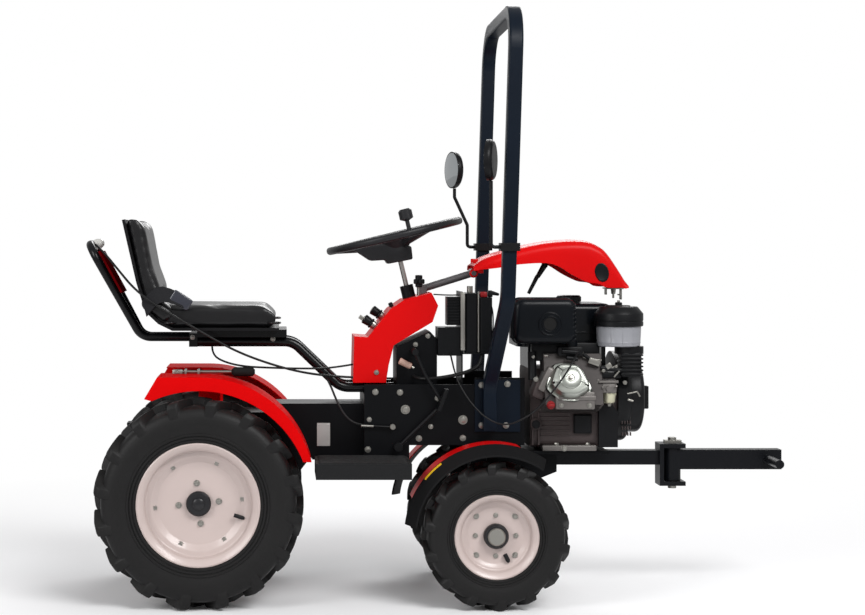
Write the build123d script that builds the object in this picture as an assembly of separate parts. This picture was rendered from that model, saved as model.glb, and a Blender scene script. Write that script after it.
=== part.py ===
"""Compact ride-on tractor with a petrol engine in front, a hoop over the driver and steered wing guards.

Millimetres. x points forward, y to the driver's left, z up. The origin is on the ground, midway along
and across the machine. Every piece is made for the right-hand side first, and mirrored to the left.
"""

import math
import os

from build123d import *

# Fits shared by all pieces
seat_gap = 0.3
overrun = 20.0

# Wheelbase and track
wheelbase = 806.0
rear_axle_x = -663.0
front_axle_x = rear_axle_x + wheelbase
tyre_outer_y = 340.0


def side_plane(y):
    """Drawing plane of a side view at one y, seen from the right-hand side."""
    return Plane(origin=(0, y, 0), x_dir=(1, 0, 0), z_dir=(0, -1, 0))


def side_prism(face, y_low, y_high):
    """Solid of a side-view face (x, z) between two y places."""
    return extrude(side_plane(y_high) * face, amount=y_high - y_low)


def polygon(points):
    """Face inside straight lines through the points."""
    return make_face(Polyline(*points, close=True))


def block(x, y, z):
    """Rectangular block; each argument is a (low, high) pair."""
    centre = [(low + high) / 2 for low, high in (x, y, z)]
    return Pos(*centre) * Box(*[high - low for low, high in (x, y, z)])


def rod(start, end, radius):
    """Round bar from one point to another."""
    start, end = Vector(start), Vector(end)
    plane = Plane(origin=start, z_dir=end - start)
    return extrude(plane * Circle(radius), amount=(end - start).length)


def bent_rod(points, bend_radius, radius):
    """Round bar along straight runs with one bend radius at every corner."""
    path = FilletPolyline(*points, radius=bend_radius)
    section = Plane(origin=path @ 0, z_dir=path % 0) * Circle(radius)
    return sweep(section, path=path)


def left_of(part):
    """The left-hand twin of a right-hand piece."""
    return mirror(part, about=Plane.XZ)


def pair(part):
    """A right-hand piece and its left-hand twin in one node."""
    return Compound([part.solid(), left_of(part).solid()])


def spoke_pattern(count, start=0.0):
    """Angles of a full circle shared by a number of copies."""
    return [start + index * 360.0 / count for index in range(count)]


# Wheels: lugged tyres on pressed rims
class Wheel:
    """Sizes of one axle's wheels. Heights and depths are measured from the tyre's middle plane."""

    def __init__(self, **sizes):
        self.__dict__.update(sizes)


rear_wheel = Wheel(
    axle_x=rear_axle_x,
    radius=286.0,
    width=130.0,
    rim_radius=150.0,
    flange_radius=169.0,
    rim_width=112.0,
    rim_wall=5.0,
    dish_depth=46.0,
    dish_wall=6.0,
    ring_radius=128.0,
    ring_rise=14.0,
    hub_radius=34.0,
    hub_back=76.0,
    hub_front=24.0,
    bore_radius=16.0,
    lug_count=16,
    lug_height=19.0,
    lug_root=46.0,
    lug_width=25.0,
    lug_lean=38.0,
)
front_wheel = Wheel(
    axle_x=front_axle_x,
    radius=200.0,
    width=105.0,
    rim_radius=100.0,
    flange_radius=116.0,
    rim_width=86.0,
    rim_wall=5.0,
    dish_depth=34.0,
    dish_wall=6.0,
    ring_radius=86.0,
    ring_rise=8.0,
    hub_radius=34.0,
    hub_back=30.0,
    hub_front=34.0,
    bore_radius=12.0,
    lug_count=14,
    lug_height=13.0,
    lug_root=32.0,
    lug_width=20.0,
    lug_lean=38.0,
)
# Tyre section, as shares of the half width and of the section height above the rim flange
tyre_section_shares = [(0.86, 0.08), (0.97, 0.30), (1.00, 0.55), (0.95, 0.84), (0.78, 0.95), (0.0, 1.0)]
lug_inner_share = 0.06
lug_outer_share = 1.03
# Shoulder where the lugs' tops fall away, as shares of the half width and of the lug height
lug_shoulder_shares = (0.88, 0.55)


def wheel_plane(wheel):
    """Plane at the right-hand wheel's centre, its z pointing outboard."""
    centre_y = -(tyre_outer_y - wheel.width / 2)
    return Plane(origin=(wheel.axle_x, centre_y, wheel.radius), x_dir=(1, 0, 0), z_dir=(0, -1, 0))


def tyre(wheel):
    """Carcass turned about the axle, with leaning lugs that meet in a chevron."""
    tread_radius = wheel.radius - wheel.lug_height
    bead_half = wheel.rim_width / 2 - wheel.rim_wall - seat_gap
    flange_top = wheel.flange_radius + seat_gap
    rise = tread_radius - flange_top
    outside = [
        (flange_top + height * rise, width * wheel.width / 2) for width, height in tyre_section_shares
    ]
    inside = [(wheel.rim_radius + seat_gap, bead_half), (flange_top, bead_half)]
    half = inside + outside
    other = [(radius, -width) for radius, width in reversed(half) if width > 0]
    section = make_face(Polyline(*half, *other, close=True))
    carcass = revolve(Plane.XZ * section, axis=Axis.Z)
    lug_reach = wheel.width / 2 * (lug_outer_share - lug_inner_share)
    lug_middle = wheel.width / 2 * (lug_outer_share + lug_inner_share) / 2
    lug_length = lug_reach / math.cos(math.radians(wheel.lug_lean))
    step = 360.0 / wheel.lug_count
    lugs = []
    for side, offset in ((1, 0.0), (-1, step / 2)):
        lug = Rot(-side * wheel.lug_lean, 0, 0) * Box(2 * wheel.lug_root, wheel.lug_width, lug_length)
        lug = Pos(wheel.radius, 0, side * lug_middle) * lug
        lugs += [Rot(0, 0, angle) * lug for angle in spoke_pattern(wheel.lug_count, offset)]
    whole = carcass + lugs
    # The lugs are turned off at the tyre's full radius and at its shoulders
    flat_half = lug_shoulder_shares[0] * wheel.width / 2
    edge_radius = wheel.radius - lug_shoulder_shares[1] * wheel.lug_height
    envelope = [(wheel.radius, flat_half), (edge_radius, wheel.width / 2), (0, wheel.width / 2)]
    envelope += [(radius, -width) for radius, width in reversed(envelope)]
    return wheel_plane(wheel) * (whole & revolve(Plane.XZ * polygon(envelope), axis=Axis.Z))


def rim(wheel):
    """Rolled barrel with two flanges, a dished disc with a raised ring, and the hub with its blind bore."""
    half = wheel.rim_width / 2
    inner = wheel.rim_radius - wheel.rim_wall
    barrel = [
        (inner, -half),
        (wheel.flange_radius, -half),
        (wheel.flange_radius, -half + wheel.rim_wall),
        (wheel.rim_radius, -half + wheel.rim_wall),
        (wheel.rim_radius, half - wheel.rim_wall),
        (wheel.flange_radius, half - wheel.rim_wall),
        (wheel.flange_radius, half),
        (inner, half),
    ]
    dish_face = half - wheel.dish_depth
    ring_face = dish_face + wheel.ring_rise
    dish = [
        (wheel.hub_radius - wheel.rim_wall, dish_face - wheel.dish_wall),
        (wheel.ring_radius, dish_face - wheel.dish_wall),
        (inner + wheel.rim_wall / 2, ring_face - wheel.dish_wall),
        (inner + wheel.rim_wall / 2, ring_face),
        (wheel.ring_radius, ring_face),
        (wheel.ring_radius - wheel.ring_rise, dish_face),
        (wheel.hub_radius - wheel.rim_wall, dish_face),
    ]
    turned = [revolve(Plane.XZ * polygon(points), axis=Axis.Z) for points in (barrel, dish)]
    hub_tip = dish_face + wheel.hub_front
    hub_length = wheel.hub_back + hub_tip
    hub = Pos(0, 0, hub_tip - hub_length / 2) * Cylinder(wheel.hub_radius, hub_length)
    bore_length = hub_length - wheel.hub_front + wheel.dish_wall
    bore = Pos(0, 0, -wheel.hub_back + bore_length / 2) * Cylinder(wheel.bore_radius + seat_gap, bore_length)
    return wheel_plane(wheel) * (turned[0] + turned[1] + hub - bore)


# Frame: a box spine, bolted side plates and a nose that carries the engine
spine_half = 75.0
spine_rear_top_x = -457.0
spine_rear_low_x = -350.0
spine_top_z = 539.0
spine_low_z = 380.0
saddle_rear_x = -206.0
saddle_front_x = 243.0
saddle_low_z = 430.0
saddle_top_z = 570.0
plate_thick = 4.0
plate_outer_y = 140.0
saddle_half = plate_outer_y - plate_thick - seat_gap
plate_top_z = 598.0
plate_low_z = 428.0
plate_step_x = -80.0
plate_step_z = 374.0
plate_ear_x = 102.0
plate_ear_z = 617.0
nose_half = 60.0
nose_front_x = 345.0
nose_low_z = 359.0
nose_top_z = 400.0
keel_low_z = 326.0
keel_chin = 18.0
keel_rear_x = 250.0
keel_toe_x = 300.0
cheek_thick = 8.0
cheek_half = 45.0
cheek_outer_x = 42.0
nose_rear_x = front_axle_x - cheek_outer_x
axle_rise = 68.0
pivot_radius = 14.0
pivot_z = front_wheel.radius + axle_rise
cheek_low_z = pivot_z - cheek_half


def spine():
    """Welded box frame: sloping tail, wide saddle, low nose and the two cheeks of the front axle's pivot."""
    tail = side_prism(
        polygon(
            [
                (spine_rear_top_x, spine_top_z),
                (spine_rear_low_x, spine_low_z),
                (plate_step_x, spine_low_z),
                (plate_step_x, spine_top_z),
            ]
        ),
        -spine_half,
        spine_half,
    )
    saddle = block(
        (saddle_rear_x, saddle_front_x), (-saddle_half, saddle_half), (saddle_low_z, saddle_top_z)
    )
    nose = block((nose_rear_x, nose_front_x), (-nose_half, nose_half), (nose_low_z, nose_top_z))
    neck = block((nose_rear_x, saddle_front_x), (-nose_half, nose_half), (nose_top_z, saddle_low_z))
    keel_face = [
        (keel_rear_x, nose_low_z),
        (nose_front_x, nose_low_z),
        (nose_front_x, keel_low_z + keel_chin),
        (keel_toe_x, keel_low_z),
        (keel_rear_x, keel_low_z),
    ]
    keel = side_prism(polygon(keel_face), -nose_half, nose_half)
    frame = tail + saddle + nose + neck + keel
    for side in (-1, 1):
        outer_x = front_axle_x + side * cheek_outer_x
        inner_x = outer_x - side * cheek_thick
        frame += block(
            (min(outer_x, inner_x), max(outer_x, inner_x)), (-cheek_half, cheek_half), (cheek_low_z, nose_low_z)
        )
    rear_x, front_x = front_axle_x - cheek_outer_x, front_axle_x + cheek_outer_x
    return frame + rod((rear_x, 0, pivot_z), (front_x, 0, pivot_z), pivot_radius)


def side_plates():
    """Flat plates bolted to both sides of the saddle, stepped down at the rear for the footboards."""
    outline = [
        (saddle_rear_x, plate_top_z),
        (saddle_rear_x, plate_step_z),
        (plate_step_x, plate_step_z),
        (plate_step_x, plate_low_z),
        (saddle_front_x, plate_low_z),
        (saddle_front_x, plate_ear_z),
        (plate_ear_x, plate_ear_z),
        (plate_ear_x, plate_top_z),
    ]
    return pair(side_prism(polygon(outline), -plate_outer_y, plate_thick - plate_outer_y))


# Gearbox with the rear axle tubes
gearbox_half = 85.0
gearbox_tail_x = -745.0
gearbox_low_z = 215.0
gearbox_top_z = 515.0
gearbox_chamfer = 45.0
gearbox_toe_x = -590.0
gearbox_throat_x = -400.0
gearbox_throat_z = 330.0
axle_tube_radius = 38.0
axle_tube_end_y = 195.0
axle_stub_end_y = 258.0
tail_joint_shares = (0.95, (spine_top_z - gearbox_top_z) / (spine_top_z - spine_low_z))


def along_tail(share):
    """Point on the spine's sloping end, from its top corner to its low corner."""
    return (
        spine_rear_top_x + share * (spine_rear_low_x - spine_rear_top_x),
        spine_top_z + share * (spine_low_z - spine_top_z),
    )


def gearbox():
    """Cast gear case bolted to the sloping end of the spine, with an axle tube to each side."""
    outline = [
        (gearbox_tail_x, gearbox_low_z),
        (gearbox_toe_x, gearbox_low_z),
        (gearbox_throat_x, gearbox_throat_z),
        along_tail(tail_joint_shares[0]),
        along_tail(tail_joint_shares[1]),
        (gearbox_tail_x + gearbox_chamfer, gearbox_top_z),
        (gearbox_tail_x, gearbox_top_z - gearbox_chamfer),
    ]
    case = side_prism(polygon(outline), -gearbox_half, gearbox_half)
    centre_z = rear_wheel.radius
    for side in (-1, 1):
        root = (rear_axle_x, 0, centre_z)
        case += rod(root, (rear_axle_x, side * axle_tube_end_y, centre_z), axle_tube_radius)
        case += rod(root, (rear_axle_x, side * axle_stub_end_y, centre_z), rear_wheel.bore_radius)
    return case


# Rear hitch: two drilled cheeks behind the gearbox
hitch_end_x = -880.0
hitch_eye_x = -858.0
hitch_half = 30.0
hitch_root = 12.0
hitch_cheek = 8.0
hitch_low_z = 430.0
hitch_gap = 34.0
hitch_bore_radius = 10.0


def rear_hitch():
    """Welded clevis for a towed implement."""
    high_z = hitch_low_z + 2 * hitch_cheek + hitch_gap
    root = block(
        (gearbox_tail_x - hitch_root, gearbox_tail_x), (-hitch_half, hitch_half), (hitch_low_z, high_z)
    )
    clevis = root
    for low in (hitch_low_z, high_z - hitch_cheek):
        cheek_z = (low, low + hitch_cheek)
        clevis += block((hitch_end_x, gearbox_tail_x - hitch_root), (-hitch_half, hitch_half), cheek_z)
    bore = rod((hitch_eye_x, 0, hitch_low_z - overrun), (hitch_eye_x, 0, high_z + overrun), hitch_bore_radius)
    return clevis - bore


# Front axle: a rocking beam, fixed here at level, with a kingpin boss at each end
beam_half_x = 24.0
beam_half_z = 25.0
beam_low_z = pivot_z - beam_half_z
beam_high_z = pivot_z + beam_half_z
kingpin_y = 205.0
kingpin_radius = 12.0
boss_radius = 22.0
boss_half_z = 32.0
boss_low_z = pivot_z - boss_half_z
boss_high_z = pivot_z + boss_half_z


def front_axle():
    """Box beam drilled for the pivot, with upright bosses for the kingpins."""
    beam = block(
        (front_axle_x - beam_half_x, front_axle_x + beam_half_x), (-kingpin_y, kingpin_y), (beam_low_z, beam_high_z)
    )
    for side in (-1, 1):
        place = (front_axle_x, side * kingpin_y)
        beam += rod((*place, boss_low_z), (*place, boss_high_z), boss_radius)
    for side in (-1, 1):
        place = (front_axle_x, side * kingpin_y)
        beam -= rod((*place, boss_low_z - overrun), (*place, boss_high_z + overrun), kingpin_radius + seat_gap)
    pivot_end = cheek_outer_x + overrun
    return beam - rod(
        (front_axle_x - pivot_end, 0, pivot_z), (front_axle_x + pivot_end, 0, pivot_z), pivot_radius + seat_gap
    )


# Front wheel guards: a rolled steel band with a drooping rubber lip, carried on the knuckle
guard_clearance = 48.0
guard_radius = front_wheel.radius + guard_clearance
guard_wall = 3.0
guard_inner_y = 214.0
guard_fold_y = 292.0
guard_front_angle = 74.0
guard_rear_angle = 156.0
lip_outer_y = 344.0
lip_drop = 30.0
lip_wall = 5.0
lip_front_angle = 56.0
lip_rear_angle = 173.0

# Steering knuckles with spindle, top arm and the stay of the wheel guard
knuckle_half_x = 22.0
knuckle_drop = 24.0
knuckle_low_z = front_wheel.radius - knuckle_drop
spindle_end_y = 285.0
arm_thick = 9.0
arm_low_z = boss_high_z + seat_gap
arm_reach = 92.0
arm_half = 15.0
stay_thick = 6.0
stay_half_x = 16.0
stay_y = 224.0
stay_shelf = 30.0
stay_top_z = front_wheel.radius + math.sqrt((guard_radius - guard_wall) ** 2 - stay_half_x**2) - seat_gap
tie_rod_radius = 6.5
tie_eye_radius = 14.0
tie_pin_radius = 6.0
tie_eye_thick = 14.0
tie_open_clearance = 1.0


def knuckle():
    """Right-hand knuckle: block and spindle under the beam's boss, kingpin through it, arm and stay on top."""
    x, y = front_axle_x, -kingpin_y
    body = block(
        (x - knuckle_half_x, x + knuckle_half_x),
        (y - knuckle_half_x, y + knuckle_half_x),
        (knuckle_low_z, boss_low_z - seat_gap),
    )
    arm_high_z = arm_low_z + arm_thick
    body += rod((x, y, knuckle_low_z), (x, y, arm_high_z), kingpin_radius)
    body += rod((x, y, front_wheel.radius), (x, -spindle_end_y, front_wheel.radius), front_wheel.bore_radius)
    body += rod((x, y, arm_low_z), (x, y, arm_high_z), boss_radius)
    body += block((x - arm_reach, x), (y - arm_half, y + arm_half), (arm_low_z, arm_high_z))
    body += rod((x - arm_reach, y, arm_low_z), (x - arm_reach, y, arm_high_z), arm_half)
    body += rod(
        (x - arm_reach, y, arm_low_z), (x - arm_reach, y, arm_high_z + tie_eye_thick), tie_pin_radius
    )
    stay_inner = -(stay_y - stay_thick / 2)
    stay_outer = -(stay_y + stay_thick / 2)
    body += block((x - stay_half_x, x + stay_half_x), (stay_outer, y), (arm_low_z, arm_high_z))
    body += block((x - stay_half_x, x + stay_half_x), (stay_outer, stay_inner), (arm_low_z, stay_top_z))
    body += block(
        (x - stay_half_x, x + stay_half_x), (stay_outer - stay_shelf, stay_inner), (stay_top_z - stay_thick, stay_top_z)
    )
    return body


def tie_rod():
    """Rod between the two knuckle arms, with an eye at each end round the arm's pin."""
    x = front_axle_x - arm_reach
    low_z = arm_low_z + arm_thick + seat_gap
    middle_z = low_z + tie_eye_thick / 2
    bar = rod((x, -kingpin_y, middle_z), (x, kingpin_y, middle_z), tie_rod_radius)
    for side in (-1, 1):
        place = (x, side * kingpin_y)
        bar += rod((*place, low_z), (*place, low_z + tie_eye_thick), tie_eye_radius)
    for side in (-1, 1):
        place = (x, side * kingpin_y)
        clearance = tie_open_clearance if side < 0 else seat_gap
        bar -= rod((*place, low_z - overrun), (*place, low_z + overrun * 2), tie_pin_radius + clearance)
    return bar



def swept_band(profile, centre_x, centre_z, start_angle, end_angle):
    """Section of (y, radius) points turned about a wheel's axis between two side-view angles."""
    section = make_face(Polyline(*[(radius, y) for y, radius in profile], close=True))
    # Local x of the section runs forward from the axle and local y across the machine
    plane = Plane(origin=(centre_x, 0, centre_z), x_dir=(1, 0, 0), z_dir=(0, 0, 1))
    flat = plane * section
    axis = Axis((centre_x, 0, centre_z), (0, -1, 0))
    return revolve(flat.rotate(axis, start_angle), axis=axis, revolution_arc=end_angle - start_angle)


def front_guard():
    """Right-hand steel band over the front tyre."""
    profile = [
        (-guard_inner_y, guard_radius),
        (-guard_fold_y, guard_radius),
        (-guard_fold_y, guard_radius - guard_wall),
        (-guard_inner_y, guard_radius - guard_wall),
    ]
    return swept_band(profile, front_axle_x, front_wheel.radius, guard_front_angle, guard_rear_angle)


def guard_lip():
    """Right-hand rubber lip, butted to the band's outer edge and drooping over the tyre."""
    root_y = -(guard_fold_y + seat_gap)
    profile = [
        (root_y, guard_radius),
        (-lip_outer_y, guard_radius - lip_drop + lip_wall),
        (-lip_outer_y, guard_radius - lip_drop),
        (root_y, guard_radius - lip_wall),
    ]
    return swept_band(profile, front_axle_x, front_wheel.radius, lip_front_angle, lip_rear_angle)


# Rear wings over the driven wheels
wing_clearance = 23.0
wing_lead = 8.0
wing_lift = 34.0
wing_radius = rear_wheel.radius + wing_clearance
wing_centre_x = rear_axle_x + wing_lead
wing_centre_z = rear_wheel.radius + wing_lift
wing_wall = 3.0
wing_inner_y = 120.0
wing_outer_y = 300.0
wing_tail = 113.0
wing_tail_x = rear_axle_x - wing_tail
wing_front_rise = 79.0
wing_front_z = wing_centre_z + wing_front_rise
skirt_clearance = 20.0
skirt_radius = rear_wheel.radius + skirt_clearance
heel_reach = 35.0
heel_drop = 59.0
toe_drop = 68.0
toe_reach = 2.0
skirt_heel_x = wing_tail_x - heel_reach
skirt_heel_z = wing_centre_z + wing_radius - heel_drop
skirt_toe_x = wing_tail_x - toe_reach
skirt_toe_z = wing_centre_z + wing_radius - toe_drop
wing_arc_middle = 55.0
bracket_wall = 5.0
bracket_behind = 7.0
bracket_ahead = 53.0
bracket_x = (rear_axle_x - bracket_behind, rear_axle_x + bracket_ahead)
bracket_foot_y = 50.0


def wing_face(radius, tail_drop):
    """Side view of a wing of one radius: a round front and a straight tail, closed at the wheel."""
    top_z = wing_centre_z + radius
    front_x = wing_centre_x + math.sqrt(radius**2 - (wing_front_z - wing_centre_z) ** 2)
    middle = math.radians(wing_arc_middle)
    middle_point = (wing_centre_x + radius * math.cos(middle), wing_centre_z + radius * math.sin(middle))
    edges = [
        ThreePointArc((front_x, wing_front_z), middle_point, (wing_centre_x, top_z)),
        Line((wing_centre_x, top_z), (wing_tail_x, top_z)),
        Polyline(
            (wing_tail_x, top_z),
            (wing_tail_x, top_z - tail_drop),
            (wing_centre_x, top_z - tail_drop),
            (wing_centre_x, wing_front_z),
            (front_x, wing_front_z),
        ),
    ]
    return make_face(edges)


def rear_wing():
    """Right-hand wing: a rolled top, an outer skirt cut round the wheel and a foot on the gear case."""
    outer = side_prism(wing_face(wing_radius, wing_wall), -wing_outer_y, -wing_inner_y)
    hollow_radius = wing_radius - wing_wall
    hollow = rod(
        (wing_centre_x, -wing_outer_y - overrun, wing_centre_z),
        (wing_centre_x, -wing_inner_y + overrun, wing_centre_z),
        hollow_radius,
    )
    top = outer - hollow
    skirt_face = wing_face(wing_radius, wing_radius)
    heel = polygon(
        [
            (wing_tail_x, wing_centre_z + wing_radius),
            (skirt_heel_x, skirt_heel_z),
            (skirt_toe_x, skirt_toe_z),
            (wing_tail_x, skirt_toe_z),
        ]
    )
    skirt = side_prism(skirt_face + heel, -wing_outer_y, wing_wall - wing_outer_y)
    wheel_space = rod(
        (rear_axle_x, -wing_outer_y - overrun, rear_wheel.radius),
        (rear_axle_x, -wing_inner_y, rear_wheel.radius),
        skirt_radius,
    )
    skirt -= wheel_space
    # What lies behind and under the heel's lower edge is trimmed away
    below = block(
        (skirt_heel_x - overrun, rear_axle_x - overrun * 2),
        (-wing_outer_y - overrun, 0),
        (wing_front_z - overrun, skirt_toe_z),
    )
    skirt -= below
    foot_z = (gearbox_top_z, gearbox_top_z + bracket_wall)
    upright_y = (-wing_inner_y - bracket_wall, -wing_inner_y)
    upright = block(bracket_x, upright_y, (gearbox_top_z, wing_centre_z + hollow_radius - bracket_wall))
    crown = block(
        bracket_x, upright_y, (wing_centre_z + hollow_radius - overrun, wing_centre_z + wing_radius - wing_wall / 2)
    )
    foot = block(bracket_x, (-wing_inner_y, -bracket_foot_y), foot_z)
    return top + skirt + upright + crown + foot


# Footboards beside the saddle
board_rear_x = -345.0
board_front_x = -86.0
board_outer_y = 330.0
board_top_z = 398.0
board_low_z = 355.0
board_wall = 3.0


def footboard():
    """Right-hand pressed tray, open below, bolted to the side plate along its inner lip."""
    inner_y = plate_outer_y + seat_gap
    tray = block((board_rear_x, board_front_x), (-board_outer_y, -inner_y), (board_low_z, board_top_z))
    hollow = block(
        (board_rear_x + board_wall, board_front_x - board_wall),
        (-board_outer_y + board_wall, -inner_y - board_wall),
        (board_low_z - overrun, board_top_z - board_wall),
    )
    return tray - hollow


# Seat rails: two bent tubes from the saddle, joined behind by a cross bar
rail_radius = 14.0
rail_y = 60.0
rail_seat_z = 714.0
rail_front_x = -119.0
rail_knee_x = -270.0
rail_elbow_x = -405.0
rail_bend = 60.0
cross_rear_x = -700.0
cross_front_x = -676.0
cross_half = 76.0
cross_top_z = 738.0


def seat_rails():
    """Both rails and the cross bar, welded."""
    low_z = saddle_top_z + seat_gap + rail_radius
    cross = block(
        (cross_rear_x, cross_front_x), (-cross_half, cross_half), (rail_seat_z - rail_radius, cross_top_z)
    )
    for side in (-1, 1):
        y = side * rail_y
        points = [
            (cross_rear_x + rail_radius / 2, y, rail_seat_z),
            (rail_elbow_x, y, rail_seat_z),
            (rail_knee_x, y, low_z),
            (rail_front_x, y, low_z),
        ]
        cross += bent_rod(points, rail_bend, rail_radius)
    return cross


# Guard loop behind the seat
loop_radius = 12.0
loop_low_z = 725.5
loop_top_z = 990.0
loop_rear_x = -983.0
loop_bend_x = -838.0
loop_low_y = 30.0
loop_top_y = 88.0
loop_bend = 45.0


def guard_loop():
    """One bent tube: two legs that start at the cross bar, spread as they rise, and meet in a top bar."""
    leg = [
        (cross_rear_x - seat_gap, loop_low_y, loop_low_z),
        (loop_bend_x, loop_low_y, loop_low_z),
        (loop_rear_x, loop_top_y, loop_top_z),
    ]
    right = [(x, -y, z) for x, y, z in leg]
    return bent_rod(right + list(reversed(leg)), loop_bend, loop_radius)


# Rear reflector panel and lamp on the loop
panel_shares = (0.46, 0.90)
panel_thick = 6.0
panel_half = 78.0
lamp_radius = 14.0
lamp_depth = 16.0


def rear_reflector():
    """Flat panel across the front of the loop's legs."""
    run_x, run_z = loop_rear_x - loop_bend_x, loop_top_z - loop_low_z
    run = math.hypot(run_x, run_z)
    normal_x, normal_z = run_z / run, -run_x / run
    corners = []
    for share, depth in ((0, 0), (1, 0), (1, 1), (0, 1)):
        along = panel_shares[share]
        out = loop_radius + seat_gap + depth * panel_thick
        corners.append(
            (loop_bend_x + along * run_x + out * normal_x, loop_low_z + along * run_z + out * normal_z)
        )
    return side_prism(polygon(corners), -panel_half, panel_half)


def rear_lamp():
    """Small round lamp in front of the loop's top bar."""
    front_x = loop_rear_x + loop_radius + seat_gap
    body = rod((front_x, 0, loop_top_z), (front_x + lamp_depth, 0, loop_top_z), lamp_radius)
    return fillet(body.edges().sort_by(Axis.X)[-1], lamp_radius / 2)


# Seat: base plate, moulded shell, cushion and backrest
base_front_x = -423.0
base_half = 105.0
base_top_z = 750.0
shell_wall = 8.0
shell_half = 188.0
seat_rear_x = -877.0
seat_front_x = -445.0
seat_top_z = 1059.0
shell_centre_z = base_top_z + seat_gap + shell_wall / 2
seat_run = seat_front_x - seat_rear_x
seat_rise = seat_top_z - shell_centre_z
# Side view of the seat as shares of its length, from the rear, and of its height, from the shell's floor
shell_line_shares = [(0.0, 1.0), (0.093, 0.427), (0.15, 0.165), (0.23, 0.06), (0.317, 0.0), (1.0, 0.0)]
backrest_front_shares = [(0.228, 0.232), (0.226, 0.365), (0.168, 0.578), (0.115, 0.93), (0.085, 1.015)]
backrest_rear_shares = [(0.025, 1.03), (0.003, 0.995), (0.093, 0.427), (0.15, 0.232)]
cushion_shares = [(0.26, 0.0), (0.985, 0.0), (1.01, 0.09), (0.995, 0.15), (0.94, 0.205), (0.29, 0.213), (0.255, 0.19)]
cushion_half = 196.0
backrest_half = 192.0


def seat_points(shares):
    """Side-view points of the seat from shares of its length and height."""
    return [(seat_rear_x + along * seat_run, shell_centre_z + up * seat_rise) for along, up in shares]


def seat_shell_face(wall):
    """Side view of the bent shell, of any wall thickness about its centre line."""
    return trace(Polyline(*seat_points(shell_line_shares)), wall)


def seat_base():
    """Plate between the rails and the shell."""
    low_z = rail_seat_z + rail_radius + seat_gap
    return block((cross_front_x + seat_gap, base_front_x), (-base_half, base_half), (low_z, base_top_z))


def seat_shell():
    """Bent floor and back of the seat."""
    return side_prism(seat_shell_face(shell_wall), -shell_half, shell_half)


def seat_pad(shares, half):
    """Upholstered pad: its side view less the shell's."""
    face = polygon(seat_points(shares)) - seat_shell_face(shell_wall + 2 * seat_gap)
    return side_prism(face.faces().sort_by(SortBy.AREA)[-1], -half, half)


def seat_cushion():
    """Cushion on the shell's floor."""
    return seat_pad(cushion_shares, cushion_half)


def seat_backrest():
    """Backrest against the shell's back."""
    return seat_pad(backrest_front_shares + backrest_rear_shares, backrest_half)


# Console with the steering column
console_half = 85.0
console_foot_gap = 0.7
console_low_z = plate_top_z + console_foot_gap
console_rear_x = -235.0
console_front_x = 6.0
console_top_z = 854.0
console_run = console_front_x - console_rear_x
console_rise = console_top_z - console_low_z
console_shares = [
    (0.0, 0.0),
    (0.013, 0.516),
    (0.174, 0.505),
    (0.432, 0.81),
    (0.598, 0.918),
    (0.921, 1.0),
    (1.0, 0.855),
    (0.934, 0.674),
    (0.477, 0.414),
    (0.419, 0.2),
    (0.386, 0.0),
]
column_tilt = 13.5
wheel_centre_x = -113.0
wheel_centre_z = 1015.0
column_length = 190.0
collar_radius = 19.0
collar_height = 34.0
shaft_radius = 7.0


def console_points():
    """Side view of the console."""
    return [
        (console_rear_x + along * console_run, console_low_z + up * console_rise) for along, up in console_shares
    ]


def on_column(distance):
    """Point on the steering axis, this far below the steering wheel's centre."""
    tilt = math.radians(column_tilt)
    return (wheel_centre_x + distance * math.sin(tilt), 0, wheel_centre_z - distance * math.cos(tilt))


def console_body():
    """Folded sheet-metal tower with a sloping top."""
    return side_prism(polygon(console_points()), -console_half, console_half)


console_solid = console_body()


def console():
    """The tower, drilled for the shaft."""
    return console_solid - rod(on_column(0), on_column(column_length), shaft_radius + seat_gap)


# Folded frame under the console's overhang: half width, side view from the rear foot
console_frame_half = 80.0
console_frame_points = [
    (-112.0, saddle_top_z + seat_gap),
    (-112.0, 700.0),
    (-17.0, 744.0),
    (3.0, 722.0),
    (3.0, saddle_top_z + seat_gap),
]


def console_frame():
    """Closed sheet box that carries the console."""
    return side_prism(polygon(console_frame_points), -console_frame_half, console_frame_half)


def column_collar():
    """Collar that stands on the console's sloping top round the shaft."""
    surface = column_length - overrun / 2
    sleeve = rod(on_column(surface - collar_height), on_column(surface + overrun / 2), collar_radius)
    sleeve -= rod(on_column(0), on_column(column_length), shaft_radius + seat_gap)
    return (sleeve - console_solid).solids().sort_by(Axis.Z)[-1]


# Steering wheel, its shaft and a spinner knob
rim_ring_radius = 188.0
rim_tube_radius = 12.0
grip_half_height = 11.0
grip_round = 10.0
spoke_radius = 9.0
spoke_count = 3
first_spoke_angle = 60.0
cowl_top_radius = 62.0
cowl_low_radius = 30.0
cowl_depth = 44.0
spinner_radius = 19.0
spinner_height = 34.0
spinner_stem_radius = 6.0
spinner_rise = 34.0
spinner_round = 6.0
spinner_angle = -80.0


def steering_plane():
    """Plane of the steering wheel, its z up the column."""
    tilt = math.radians(column_tilt)
    return Plane(
        origin=(wheel_centre_x, 0, wheel_centre_z),
        x_dir=(math.cos(tilt), 0, math.sin(tilt)),
        z_dir=(-math.sin(tilt), 0, math.cos(tilt)),
    )


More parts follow.
